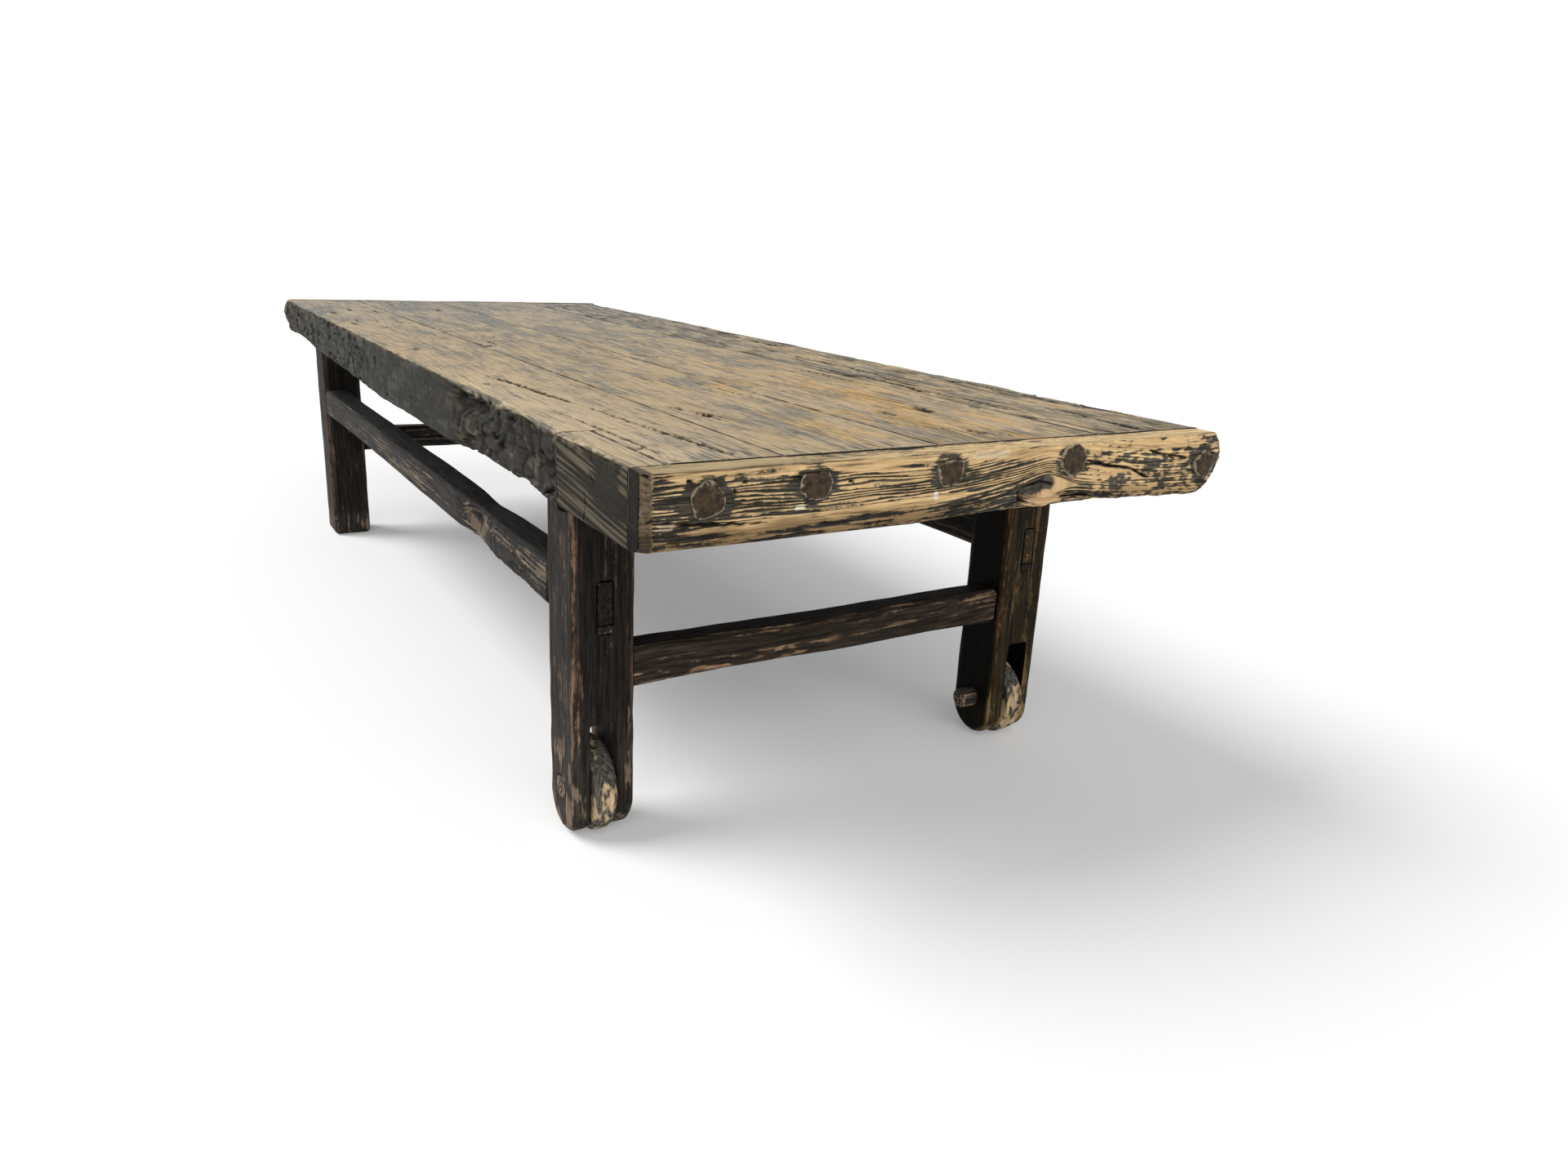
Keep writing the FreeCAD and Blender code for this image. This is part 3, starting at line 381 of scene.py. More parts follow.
def cracks(spots, lines, wander=1.0, seed=3):
    """How deep the listed cracks cut at each spot. A crack: half width, depth, then its points."""
    shaken = spots + wander * drift(spots, CRACK_RAGGED, seed)
    depth = np.zeros(len(spots))
    for half_width, deepest, *points in lines:
        points = np.array(points, float)
        legs = len(points) - 1
        for number, (start, end) in enumerate(zip(points[:-1], points[1:])):
            low = np.minimum(start, end) - half_width
            high = np.maximum(start, end) + half_width
            close = np.flatnonzero(((shaken > low) & (shaken < high)).all(axis=1))
            if not len(close):
                continue
            line = end - start
            share = np.clip((shaken[close] - start) @ line / max(line @ line, 1e-9), 0, 1)
            gap = np.linalg.norm(shaken[close] - start - share[:, None] * line, axis=1)
            whole = (number + share) / legs
            taper = np.clip(TAPERING * np.minimum(whole, 1 - whole) + BLUNT_END, 0, 1)
            cut = deepest * taper * np.clip(1 - gap / (half_width * taper), 0, 1)
            depth[close] = np.maximum(depth[close], cut)
    return depth


def checks(seed, count, low, high, longest, half_width, deepest, axis=0):
    """Short drying cracks strewn along one axis, as a list for cracks()."""
    draw = np.random.default_rng(seed)
    lines = []
    for _ in range(count):
        start = draw.uniform(low, high)
        run = np.zeros(3)
        run[axis] = longest * draw.uniform(0.15, 1) ** 2
        side = draw.normal(size=3) * 0.02 * run[axis]
        side[np.array(low) == np.array(high)] = 0
        size = draw.uniform(0.5, 1)
        lines.append((half_width * size, deepest * size, start, start + run / 2 + side, start + run))
    return lines


def woodgrain(along, across, up, seed=0, wave=1.0, knots=(), rise=None):
    """Spots in the wood's own frame, where its lines run straight: wavy and parted by knots outside it.

    A knot: its place along and across, and its size. The rise: where the lines lift, how far, how high.
    """
    plain = np.stack([along, across, up], axis=1)
    waves = 6 * noise(plain, (420, 80, 80), seed) + 2.5 * noise(plain, (110, 35, 35), seed + 1)
    lines = across + wave * waves
    if rise:
        middle, reach, lift = rise
        lines = lines - lift * near(along, middle, reach)
    for place, line, size in knots:
        reach = size * near(along, place, 2.5 * size)
        gap = lines - line
        lines = line + np.sign(gap) * np.sqrt(np.maximum(gap**2 - reach**2, 0))
    return np.stack([along, lines, up], axis=1)


def ridges(grain, fine=4.5, seed=0):
    """Raised and sunken grain, from about -1 to 1."""
    coarse = noise(grain, (260, fine * 2.2, fine * 2.2), seed)
    middling = noise(grain, (150, fine, fine), seed + 1)
    return 0.5 * coarse + 0.6 * middling + 0.25 * noise(grain, (70, fine / 2, fine / 2), seed + 2)


def tint(*shades):
    """What the finish is multiplied by. A shade: how much of it each spot takes, and its colour."""
    total = np.ones((1, 3))
    for share, colour in shades:
        total = total * (1 + np.clip(share, 0, 1)[:, None] * (np.array(colour) - 1))
    return total


def blend_colour(tree, share, first, second, way="MIX"):
    """A mix of two colours, each of them a signal or three numbers."""
    first, second = (shade if isinstance(shade, Signal) else (*shade, 1) for shade in (first, second))
    return node(tree, "ShaderNodeMix", {0: share, 6: first, 7: second}, 2, data_type="RGBA", blend_type=way)


def eased(amount, low, high):
    """0 below `low`, 1 above `high` and smooth between them."""
    inputs = {0: amount, 1: low, 2: high, 3: 0.0, 4: 1.0}
    return node(amount.tree, "ShaderNodeMapRange", inputs, interpolation_type="SMOOTHSTEP")


def stretched_noise(place, scale, detail, rough):
    """Noise on stretched coordinates, for streaks along the grain."""
    spot = node(place.tree, "ShaderNodeVectorMath", {0: place, 1: scale}, operation="MULTIPLY")
    settings = {"Vector": spot, "Scale": 1.0, "Detail": detail, "Roughness": rough}
    return node(place.tree, "ShaderNodeTexNoise", settings)


def trait_of(tree, name, output="Fac"):
    return node(tree, "ShaderNodeAttribute", output=output, attribute_name=name)


def coat(tree, colour, roughness, shine, height, bump, metallic=0.0):
    """Ends a finish with its shader, over bumps of the given height pattern."""
    relief = node(tree, "ShaderNodeBump", {"Height": height, "Strength": 1.0, "Distance": bump})
    shader = node(tree, "ShaderNodeBsdfPrincipled", {
        "Base Color": colour, "Metallic": metallic, "Roughness": roughness, "Specular IOR Level": shine,
        "Normal": relief,
    })
    node(tree, "ShaderNodeOutputMaterial", {"Surface": shader})


CRACK_BLACK = (0.010, 0.008, 0.006)


def old_elm(
    name, bare, patina, flake=0.25, edge=0.2, gloss=0.66, streak=1.0, figure=0.2, bump=0.0007, shine=0.07
):
    """Finish of weathered elm. `bare` and `patina` are each a dark and a light colour.

    The traits of the mesh say where the wood is bare or cracked, and what its colour is multiplied by.
    `flake` is how much the edge of the patina is broken up, `edge` how soft it is, and `figure` how
    strongly the growth rings show.
    """
    material, tree = blank(name)
    grain = trait_of(tree, "grain", "Vector")
    place = node(tree, "ShaderNodeTexCoord", output="Object")
    hair = stretched_noise(grain, (34, 1100, 1100), 3, 0.6)
    fibre = stretched_noise(grain, (15, 330, 330), 4, 0.62)
    bands = stretched_noise(grain, (4.5, 56, 56), 4, 0.62)
    cloud = stretched_noise(place, (9, 11, 11), 4, 0.6)
    speck = stretched_noise(grain, (75, 190, 190), 5, 0.72)
    years = speck * 0.55 + trait_of(tree, "growth") + fibre * 0.55
    rings = maths("COSINE", years * (2 * math.pi)) * trait_of(tree, "lined") * 0.5 + 0.5

    wear = trait_of(tree, "bare")
    parts = (bands, 0.75 * streak), (fibre, 0.9 * streak), (cloud, 0.9), (speck, 2.2 * flake), (rings, figure)
    for pattern, amount in parts:
        wear = wear + (pattern - 0.5) * amount
    wear = eased(wear + trait_of(tree, "relief") * 0.22, 0.5 - edge, 0.5 + edge)

    streaks = eased(fibre * 0.55 + hair * 0.45, 0.33, 0.67)
    mottle = eased(streaks * 0.6 + speck * 0.4, 0.25, 0.75)
    colour = blend_colour(tree, wear, blend_colour(tree, mottle, *patina), blend_colour(tree, streaks, *bare))
    pores = eased(fibre, 0.42, 0.30) * 0.6
    furrows = eased(rings, 0.20, 0.02) * min(1, 0.9 * figure)
    colour = blend_colour(tree, maths("MAXIMUM", pores, furrows), colour, patina[0])
    colour = blend_colour(tree, 1.0, colour, trait_of(tree, "tint", "Color"), "MULTIPLY")
    colour = blend_colour(tree, trait_of(tree, "pit"), colour, CRACK_BLACK)
    roughness = maths("ADD", (speck - 0.5) * 0.3, gloss, clamp=True)
    coat(tree, colour, roughness, shine, fibre * 0.6 + hair * 0.25 + speck * 0.25 + rings * figure, bump)
    return material


TOP_FINISH = old_elm(
    "golden_top_elm",
    bare=((0.320, 0.242, 0.150), (0.54, 0.412, 0.252)),
    patina=((0.140, 0.125, 0.098), (0.295, 0.264, 0.203)),
    edge=0.26,
    flake=0.62,
    streak=0.55,
    figure=0.22,
    bump=0.0009,
)
SOOT = (0.120, 0.128, 0.138)
SEAM_GAP = 0.5
SEAMS_WITHIN = 250
SEAM_SHUT = 5
SEAM_LIP = (-434, -426)
SIDEWAYS = (0.35, 0.8)
TOP_STEP = 1.5
END_GAP = 0.05
BREAK_GAP = 0.2
TOP_HEIGHT = node_box("front_middle_plank")[1][2]
PLANK_START, PLANK_END = (corner[0] for corner in node_box("front_middle_plank"))
PATCH_START = node_box("corner_patch")[0][0]
PLANK_STATIONS = 560
ON_TOP, ON_FRONT, ON_WHEEL_END = (2, 440), (1, -337), (0, 899)
BURL = (340, 400, 700, 716)
GNARLED_FOOT = (330, 420, 690, 712)
ROUGH_BEYOND = (60, 160)
BITE, HOLLOW, SMALL_HOLLOW = (460, 75), (456, 34, 424, 9), (396, 13, 428, 6)
FRONT_UPPER_ROUND = np.array([
    (-870, 8), (-600, 5), (-300, 5), (330, 5), (372, 7), (400, 15), (450, 18), (510, 17), (552, 8), (612, 5),
    (636, 12), (690, 14), (704, 6), (870, 5),
])
FRONT_LOWER_ROUND = np.array([
    (-870, 12), (-835, 24), (-700, 22), (-540, 12), (300, 8), (560, 11), (700, 8), (870, 5),
])
FRONT_TOP_CRACKS = drawn(ON_TOP, [
    (2.2, 5, 330, -284, 380, -277, 440, -271, 500, -266, 560, -260),
    (1.3, 3, 560, -260, 650, -252, 760, -243, 850, -235),
    (1.2, 3, 740, -239, 800, -236, 868, -231),
    (1.0, 2, 560, -296, 700, -292, 868, -290),
    (1.6, 3, 393, -306, 412, -304),
    (1.8, 4, 32, -297, 50, -294),
    (1.4, 3, -420, -292, -380, -288),
    (2.4, 5, 801, -303, 804, -293),
    (3.2, 6, 722, -309, 728, -307),
    (1.6, 4, 742, -268, 749, -266),
    (1.6, 4, 704, -282, 711, -280),
    (1.4, 3, 688, -233, 697, -231),
    (1.6, 4, -640, -214, -560, -218, -530, -210),
    (1.8, 4, -700, -262, -650, -255, -600, -258),
    (2.0, 4, -590, -302, -557, -298, -530, -300),
    (2.0, 4, -360, -305, -337, -302, -318, -304),
    (1.6, 4, -425, -258, -398, -254, -380, -257),
    (1.6, 4, -305, -268, -282, -264, -262, -266),
    (1.5, 4, -400, -223, -370, -219, -350, -221),
    (1.5, 4, -305, -219, -283, -216, -268, -218),
    (1.6, 4, 64, -322, 54, -302, 45, -286),
    (2.4, 4, 858, -293, 864, -292),
])
FRONT_SIDE_CRACKS = drawn(ON_FRONT, [
    (1.8, 5, -240, 414, -200, 408, -150, 404, -105, 400),
    (1.8, 5, -600, 428, -520, 416, -450, 404),
    (1.6, 5, -92, 422, -91, 391),
    (1.2, 3, -92, 421, -50, 419),
    (3.5, 10, -49, 417, -40, 416, -34, 397),
    (4.0, 6, -236, 399, -224, 400),
    (3.5, 6, -206, 393, -196, 391),
    (2.6, 5, 24, 376, 38, 374),
    (2.4, 5, 168, 393, 172, 388),
])


def top_wear(spots, normals, seed, lines, knots=(), rough=0.0, pith=(0, 300), pitch=4.6):
    """What time does to the top of a plank: the depth and the traits."""
    along, across, up = spots.T
    facing_up = step(normals[:, 2], 0.2, 0.85)
    grain = woodgrain(along, across, up, seed, 1 + 1.5 * rough, knots)
    growth = growth_rings(grain, pith, pitch, 1 + rough, seed + 12)
    relief = 0.7 * ridges(grain, 4.5, seed + 2) + 0.35 * np.cos(2 * math.pi * growth)
    low, high = spots.min(axis=0), spots.max(axis=0)
    low[2] = high[2] = TOP_HEIGHT
    small = checks(seed, 90, low + (10, 4, 0), high - (90, 4, 0), 80, 1.2, 2.8)
    wide = [(2.1 * half_width, 1.6 * deepest, *points) for half_width, deepest, *points in lines]
    cut = (cracks(spots, wide, 2.8, seed) + cracks(spots, small, 0.8, seed)) * facing_up
    end_zone = step(along + 14 * noise(spots, (60, 9, 60), seed + 11), 800, 838) * facing_up
    strokes = noise(grain, (30, 2.8, 40), seed + 9)
    combed = 1.6 * strokes * end_zone + 0.5 * noise(grain, (60, 3, 40), seed + 10)
    worn = 0.7 + 0.5 * noise(spots, (230, 60, 60), seed + 5) + (0.45 + 1.1 * rough) * relief * facing_up
    worn = worn * (1 - 0.75 * step(along, 858, 867))
    bare = 0.50 + 0.08 * step(along, 100, 800) - 0.10 * step(-along, 100, 800)
    bare = bare + 0.26 * noise(spots, (150, 44, 80), seed + 6) + 0.20 * noise(spots, (52, 17, 80), seed + 7)
    bare = bare + 0.14 * noise(spots, (19, 6, 40), seed + 15) + 0.55 * combed - 0.12 * end_zone
    upright = 1 - step(normals[:, 2] + 0.25 * noise(spots, (14, 14, 14), seed + 8), 0.5, 0.95)
    upright = upright * (1 - step(np.abs(along), 866, 869) * step(normals[:, 2], 0.3, 0.5))
    # Painted reflection: towards the far end the top is tinted greyer and bluer, for the sky's sheen at a
    # grazing view.
    painted_sky_sheen = facing_up * step(-along, -200, 900)
    honey = noise(spots, (150, 30, 80), seed + 14) + 0.6 * noise(spots, (50, 12, 40), seed + 16)
    honey = step(honey, -0.1, 0.55) * facing_up * step(along, 0, 450)
    honey = honey * step(across, -210, -60) * (0.4 + 0.6 * step(-across, -190, -120))
    traits = {
        "grain": grain,
        "growth": growth,
        "relief": np.clip(relief, -1, 1) * (0.7 + 0.3 * facing_up),
        "bare": facing_up * bare + (1 - facing_up) * 0.15,
        "tint": tint((upright, SOOT), (painted_sky_sheen, (0.90, 0.97, 1.12)), (honey, (1.10, 0.98, 0.76)),
                     ((1 - honey) * facing_up, (0.96, 0.965, 0.985))),
        "pit": np.clip(cut / 1.4 + 0.45 * end_zone * step(-strokes, 0.18, 0.5), 0, 1),
    }

    # The upright walls of a seam close against each other below the top.
    shut = step(np.abs(normals[:, 1]), 0.6, 0.9) * (np.abs(across) < SEAMS_WITHIN) * step(-up, *SEAM_LIP)
    return (np.maximum(worn, 0.15) + cut) * (1 - shut) - SEAM_SHUT * shut, traits


def wear_front_plank(spots, normals):
    along, across, up = spots.T
    depth, traits = top_wear(spots, normals, 21, FRONT_TOP_CRACKS, pith=(-70, 330), pitch=3.6)
    side = step(-normals[:, 1], *SIDEWAYS)
    burl = side * between(along, *BURL)
    plain = side * (1 - burl)
    rough_far = side * step(-along, *ROUGH_BEYOND)
    folded = spots + 24 * drift(spots, (60, 60, 34), 41)
    lumps = noise(folded, (40, 40, 22), 45)
    creases = veins(folded, (36, 34, 16), 46, 2.6, 3)
    curls = veins(folded, (32, 32, 15), 49, 3.0, 2)
    curls = curls * (0.25 + 0.75 * step(noise(spots, (46, 46, 26), 54), -0.25, 0.2))
    pits = step(noise(folded, (22, 18, 11), 47), 0.30, 0.50)
    gashes = step(noise(spots, (8, 30, 22), 56) + 0.5 * noise(spots, 30, 57), 0.42, 0.7) * side
    crumble = step(layered(spots, (30, 20, 12), 2, 48), 0.25, 0.7)
    bite = near(along, *BITE, 4) * side * step(up, 408, 425)
    wide, small = near(along, *HOLLOW[:2], 4), near(along, *SMALL_HOLLOW[:2])
    hollow = side * np.maximum(wide * near(up, *HOLLOW[2:]), small * near(up, *SMALL_HOLLOW[2:]))
    cut = cracks(spots, FRONT_SIDE_CRACKS, 1.0) * side

    depth += plain * (0.5 * traits["relief"] + 0.6 * noise(spots, (60, 40, 30), 52) + 0.5)
    depth += burl * (2.6 + 2.2 * lumps + 3.4 * creases + 3.5 * pits - 1.3 * curls)
    depth += rough_far * (3.2 * crumble + 1.8 * pits)
    on_side = np.maximum(depth + bite * (3 + 3 * creases) + 7 * hollow, 0.15) + cut
    depth = np.where(side > 0.02, on_side, depth)
    specks = step(-noise(spots, (7, 7, 5), 61) - 0.5 * noise(spots, (30, 30, 20), 62), 0.35, 0.6)
    # Dark on the side: cracks, pits, crumble, gashes and specks are dark marks in the wood; where the burl's
    # creases and the bite cut deepest, and in the knot hollow, the dark is painted shade.
    dark = cut / 2.0 + burl * (0.9 * creases * step(depth, 2, 5) + pits) + 0.7 * plain * specks
    dark += rough_far * (1.1 * pits + 0.95 * crumble) + 0.5 * bite * step(depth, 5, 10)
    dark += step(hollow, 0.25, 0.6) + gashes * (0.7 * rough_far + 0.45 * (1 - burl))

    arris = near(up, TOP_HEIGHT - 3, 9) * step(-across, 322, 335)
    bare = 0.12 + 0.22 * noise(spots, (34, 30, 16), 60) + burl * (0.06 - 0.18 * lumps + 0.62 * curls)
    bare += 0.24 * arris + 0.16 * step(-along, 0, 700)
    top_edge = 0.10 + 0.20 * step(-across, 215, 330) * step(along, 0, 500)
    sandy = step(-across, 200, 300) * step(along, 100, 600) * step(normals[:, 2], 0.3, 0.9)
    stained = noise(spots, (50, 40, 25), 53) + 0.6 * noise(spots, (16, 18, 10), 55)
    scratched = noise(spots, (6, 30, 46), 58) + 0.8 * noise(traits["grain"], (60, 3, 30), 59)
    lighter = side * (0.65 * rough_far + 0.2 * arris + 1.1 * curls * burl)
    lighter += plain * np.clip(1.5 * stained + 1.1 * scratched, -0.45, 1.2)
    lighter *= 1 - step(normals[:, 2], 0.3, 0.7)
    traits["bare"] = np.where(side > 0.02, bare, traits["bare"] + top_edge)
    traits["lined"] = 1 - 0.8 * burl + 0.5 * step(along, 350, 600) * (1 - side)
    shades = (sandy, (1.14, 1.16, 1.20)), (side, (0.83, 0.82, 0.80)), (lighter, (2.2, 2.3, 2.5))
    traits["tint"] = traits["tint"] * tint(*shades)
    traits["pit"] = np.clip(traits["pit"] + dark, 0, 1)
    return depth, traits


def plank_stations(*breaks):
    """Places along the planks, with two close ones at each break in the outline."""
    places = crowded(PLANK_START + END_GAP, PLANK_END - END_GAP, PLANK_STATIONS)
    pairs = [place + gap for place in breaks for gap in (-BREAK_GAP, BREAK_GAP)]
    return np.sort(np.concatenate([places, pairs]))


along = plank_stations(PATCH_START)
foot_corner, top_corner = sections("front_edge_plank", along)
front_edge_wear = 0.4 + 1.2 * np.clip(wavering(along, 170, 7), 0, 1)
gnarled = between(along, *GNARLED_FOOT) + 0.6 * step(-along, 80, 200)
foot_wear = 1.4 + 1.0 * (wavering(along, 34, 9) + 0.5 * wavering(along, 15, 10))
foot_wear = foot_wear + gnarled * (2.2 + 2.2 * wavering(along, 22, 18) + 1.2 * wavering(along, 9, 19))
rings = bar(
    along,
    foot_corner[:, 1] + front_edge_wear,
    top_corner[:, 1] - SEAM_GAP,
    foot_corner[:, 2] + foot_wear,
    TOP_HEIGHT,
    (TOP_STEP, 9, 9, 1.6),
    (1.2, 1.5, np.interp(along, *FRONT_LOWER_ROUND.T), np.interp(along, *FRONT_UPPER_ROUND.T)),
)
front_plank = skin("front_edge_plank_elm", rings, TOP_FINISH)
settle(front_plank, "table", "top_elm", "front_edge_plank", wear=wear_front_plank)

# Middle planks: two plain elm boards, tongued to their neighbours. The seam between them has nearly
# closed at the wheeled end. One has a knot with a crack beside it, and a plug in an old hole.
MIDDLE_STEP = 1.8
FRONT_MIDDLE_CRACKS = drawn(ON_TOP, [
    (1.8, 4, 596, -176, 625, -166, 640, -158, 668, -151, 690, -149),
    (2.6, 6, 640, -157, 655, -154, 672, -158),
    (1.4, 3, 645, -164, 668, -163, 700, -156),
    (1.5, 3, -55, -167, -2, -166),
    (1.5, 3, 0, -175, 28, -190),
    (1.6, 3, -30, -190, 32, -190),
    (1.4, 3, -125, -136, -105, -136, -105, -164, -125, -164, -125, -136),
    (2.6, 4, -210, -155, -200, -154),
    (2.2, 4, -204, -187, -196, -186),
    (2.0, 3, 26, -107, 34, -106),
    (1.2, 3, 420, -60, 520, -52, 610, -50),
    (1.6, 4, -700, -90, -640, -86, -610, -92),
    (1.6, 3, -820, -150, -770, -146, -740, -152),
    (1.4, 3, -480, -130, -420, -124),
])
BACK_MIDDLE_CRACKS = drawn(ON_TOP, [
    (2.4, 5, 680, 42, 700, 40, 716, 44),
    (1.3, 4, 714, -12, 747, -3, 785, 32, 813, 55),
    (2.6, 6, 806, 58, 818, 63, 832, 64),
    (1.2, 3, 827, 66, 856, 88),
    (1.6, 3, -26, 66, -15, 74, -5, 82),
    (1.4, 3, 140, -16, 160, 6, 173, 20),
    (1.5, 4, 600, 160, 650, 166, 700, 173),
    (2.6, 5, 672, 96, 690, 99, 708, 97),
    (1.6, 4, 676, 90, 694, 92, 716, 89),
    (1.5, 3, 660, 103, 685, 105, 700, 103),
    (1.5, 4, 300, 160, 420, 154, 520, 166, 600, 158),
    (1.6, 4, -690, 15, -680, 16),
    (2.6, 5, -664, 80, -652, 81),
    (1.4, 4, -400, 120, -330, 116, -290, 122),
])


def wear_front_middle(spots, normals):
    return top_wear(spots, normals, 61, FRONT_MIDDLE_CRACKS, knots=[(656, -155, 7)])


def wear_back_middle(spots, normals):
    depth, traits = top_wear(spots, normals, 81, BACK_MIDDLE_CRACKS, knots=[(690, 98, 9)])
    along, across, _ = spots.T
    glow = near(across + 0.08 * (along - 650), 70, 42) * step(along, 250, 560)
    glow = np.clip(glow + 0.5 * noise(spots, (160, 30, 60), 84), 0, 1) * step(along, -300, 300)
    traits["tint"] = traits["tint"] * tint((glow, (1.10, 0.98, 0.80)))
    return depth, traits


along = plank_stations()
for name, wear in (("front_middle_plank", wear_front_middle), ("back_middle_plank", wear_back_middle)):
    foot_corner, top_corner = sections(name, along)
    rings = bar(
        along,
        foot_corner[:, 1] + SEAM_GAP + 0.25 * wavering(along, 60, 12),
        top_corner[:, 1] - SEAM_GAP + 0.25 * wavering(along, 60, 13),
        foot_corner[:, 2],
        TOP_HEIGHT,
        (MIDDLE_STEP, 9, 12, 9),
        (1.2, 2, 2, 1.2),
    )
    plank = skin(f"{name}_elm", rings, TOP_FINISH)
    settle(plank, "table", "top_elm", name, wear=wear)

# Back edge plank: the darkest and roughest of the four, with a natural waving outer edge. Long
# drying cracks wind along it, and its seam is ragged.
BACK_EDGE_CRACKS = drawn(ON_TOP, [
    (2.6, 7, 730, 263, 790, 261, 830, 258, 869, 259),
    (2.2, 5, 300, 200, 380, 192, 460, 204, 560, 196, 640, 206, 730, 203),
    (1.8, 5, 650, 214, 700, 216, 722, 212),
    (1.8, 4, 828, 211, 869, 214),
    (2.0, 5, 420, 300, 520, 312, 640, 308, 760, 318),
    (1.8, 4, 560, 330, 680, 326, 800, 322),
    (1.8, 5, 100, 250, 220, 238, 330, 244, 440, 236),
    (1.8, 4, -200, 292, -60, 300, 80, 290),
    (2.0, 5, -560, 222, -420, 230, -300, 224),
    (1.6, 4, -820, 280, -700, 290, -560, 284),
])


def wear_back_plank(spots, normals):
    depth, traits = top_wear(spots, normals, 101, BACK_EDGE_CRACKS, rough=0.7, pith=(150, 330), pitch=5.0)
    grain = traits["grain"]
    furrows = step(noise(grain, (120, 7, 40), 111), 0.35, 0.8)
    torn = veins(grain, (130, 9, 40), 113, 4) * step(noise(spots, (120, 40, 60), 114), -0.5, 0.1)
    dark = (0.35 * furrows + 1.1 * torn) * step(normals[:, 2], 0.4, 0.9)
    traits["lined"] = np.full(len(spots), 2.0)
    traits["bare"] = traits["bare"] - 0.07 - 0.06 * step(spots[:, 1], 250, 330)
    traits["pit"] = np.clip(traits["pit"] + dark, 0, 1)
    waves = 5.5 * noise(spots, (110, 60, 60), 112) + 3 * noise(spots, (36, 60, 40), 116)
    waves = np.clip(waves + 1.5 * noise(spots, (16, 30, 15), 115) + 3, 0, 9)
    return depth + 1.2 * furrows + 1.6 * torn + waves * step(normals[:, 1], *SIDEWAYS), traits


foot_corner, top_corner = sections("back_edge_plank", along)
seam_tears = 0.5 + 1.4 * np.clip(wavering(along, 40, 14) + 0.5 * wavering(along, 15, 15), 0, 1)
rings = bar(
    along,
    foot_corner[:, 1] + seam_tears,
    top_corner[:, 1] - 0.4,
    foot_corner[:, 2] + 1.4 + wavering(along, 34, 17),
    TOP_HEIGHT,
    (TOP_STEP, 2.4, 9, 9),
    (7 + 3 * wavering(along, 120, 16), 9, 2, 2.5),
)
back_plank = skin("back_edge_plank_elm", rings, TOP_FINISH)
settle(back_plank, "table", "top_elm", "back_edge_plank", wear=wear_back_plank)

# Loose tongues: strips of clean elm let into grooves in the edges of both planks at each seam. They
# hold the planks level and don't show, so the solids of the model stay, with this finish on them.
tongue_finish, tree = blank("hidden_tongue_elm")
place = node(tree, "ShaderNodeTexCoord", output="Object")
fibre = stretched_noise(place, (9, 300, 300), 4, 0.6)
bands = stretched_noise(place, (3, 70, 70), 3, 0.6)
streaks = eased(fibre * 0.6 + bands * 0.4, 0.3, 0.7)
coat(tree, blend_colour(tree, streaks, (0.30, 0.20, 0.11), (0.50, 0.36, 0.21)), 0.7, 0.2, fibre, 0.0003)

for name in ("front_seam_tongues", "middle_seam_tongues", "back_seam_tongues"):
    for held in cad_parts[name].material_slots:
        held.material = tongue_finish

# End boards: a thick elm board nailed across the planks at each end. Its face is scoured into golden
# ridges over black, parted by a knot, and each nail sits in a dark ring, partly iron stain and partly
# painted shadow of its head. Each nail here: its place along the board, its height, the radius of its
# head and how flat its top is.
NAILS = [
    (-281, 414.5, 15.2, 0), (-179, 421.5, 15.2, 1), (-36, 422.5, 14.6, 1), (117, 422.5, 15.6, 0),
    (312, 406.5, 14.4, 0),
]
BOARD_FINISH = old_elm(
    "scoured_board_elm",
    bare=((0.36, 0.240, 0.120), (0.93, 0.650, 0.325)),
    patina=((0.026, 0.023, 0.017), (0.115, 0.102, 0.080)),
    flake=0.50,
    edge=0.14,
    streak=0.7,
    figure=1.05,
    bump=0.0010,
)
BOARD_PITCH = 3.3
FACING = (0.4, 0.85)
KNOT = (80, 387)
WHEEL_BOARD_CRACKS = drawn(ON_WHEEL_END, [
    (1.6, 4, -337, 402, -300, 396, -260, 393, -220, 391),
    (2.0, 5, 130, 422, 165, 414, 200, 409, 222, 400, 232, 397),
    (1.5, 4, 222, 426, 250, 420, 290, 414),
    (2.2, 5, 103, 388, 140, 386, 160, 377, 215, 375),
    (1.8, 5, 50, 398, 54, 388, 66, 381),
    (1.5, 4, 54, 400, 78, 404, 100, 400),
    (2.4, 5, -299, 431, -293, 430),
    (2.2, 5, -257, 420, -254, 419),
    (1.6, 3, -205, 428, -192, 426),
    (2.0, 4, -146, 420, -140, 419),
    (2.0, 4, -249, 427, -244, 426),
]) + [
    (4.0, 7, (893, -334, 435), (893, -333, 438)),
    (1.2, 3, (888, -338, 405), (893, -333, 398), (899, -327, 404)),
]
# Pale flecks on the wheel end board: how strong each is, its place, height, half width and half height.
FLECKS = [
    (1, -194, 401, 5.5, 2.8), (1, -50, 400, 2.8, 3.4), (0.4, -318, 396, 9, 4.5), (0.4, 12, 434, 26, 3.5),
]


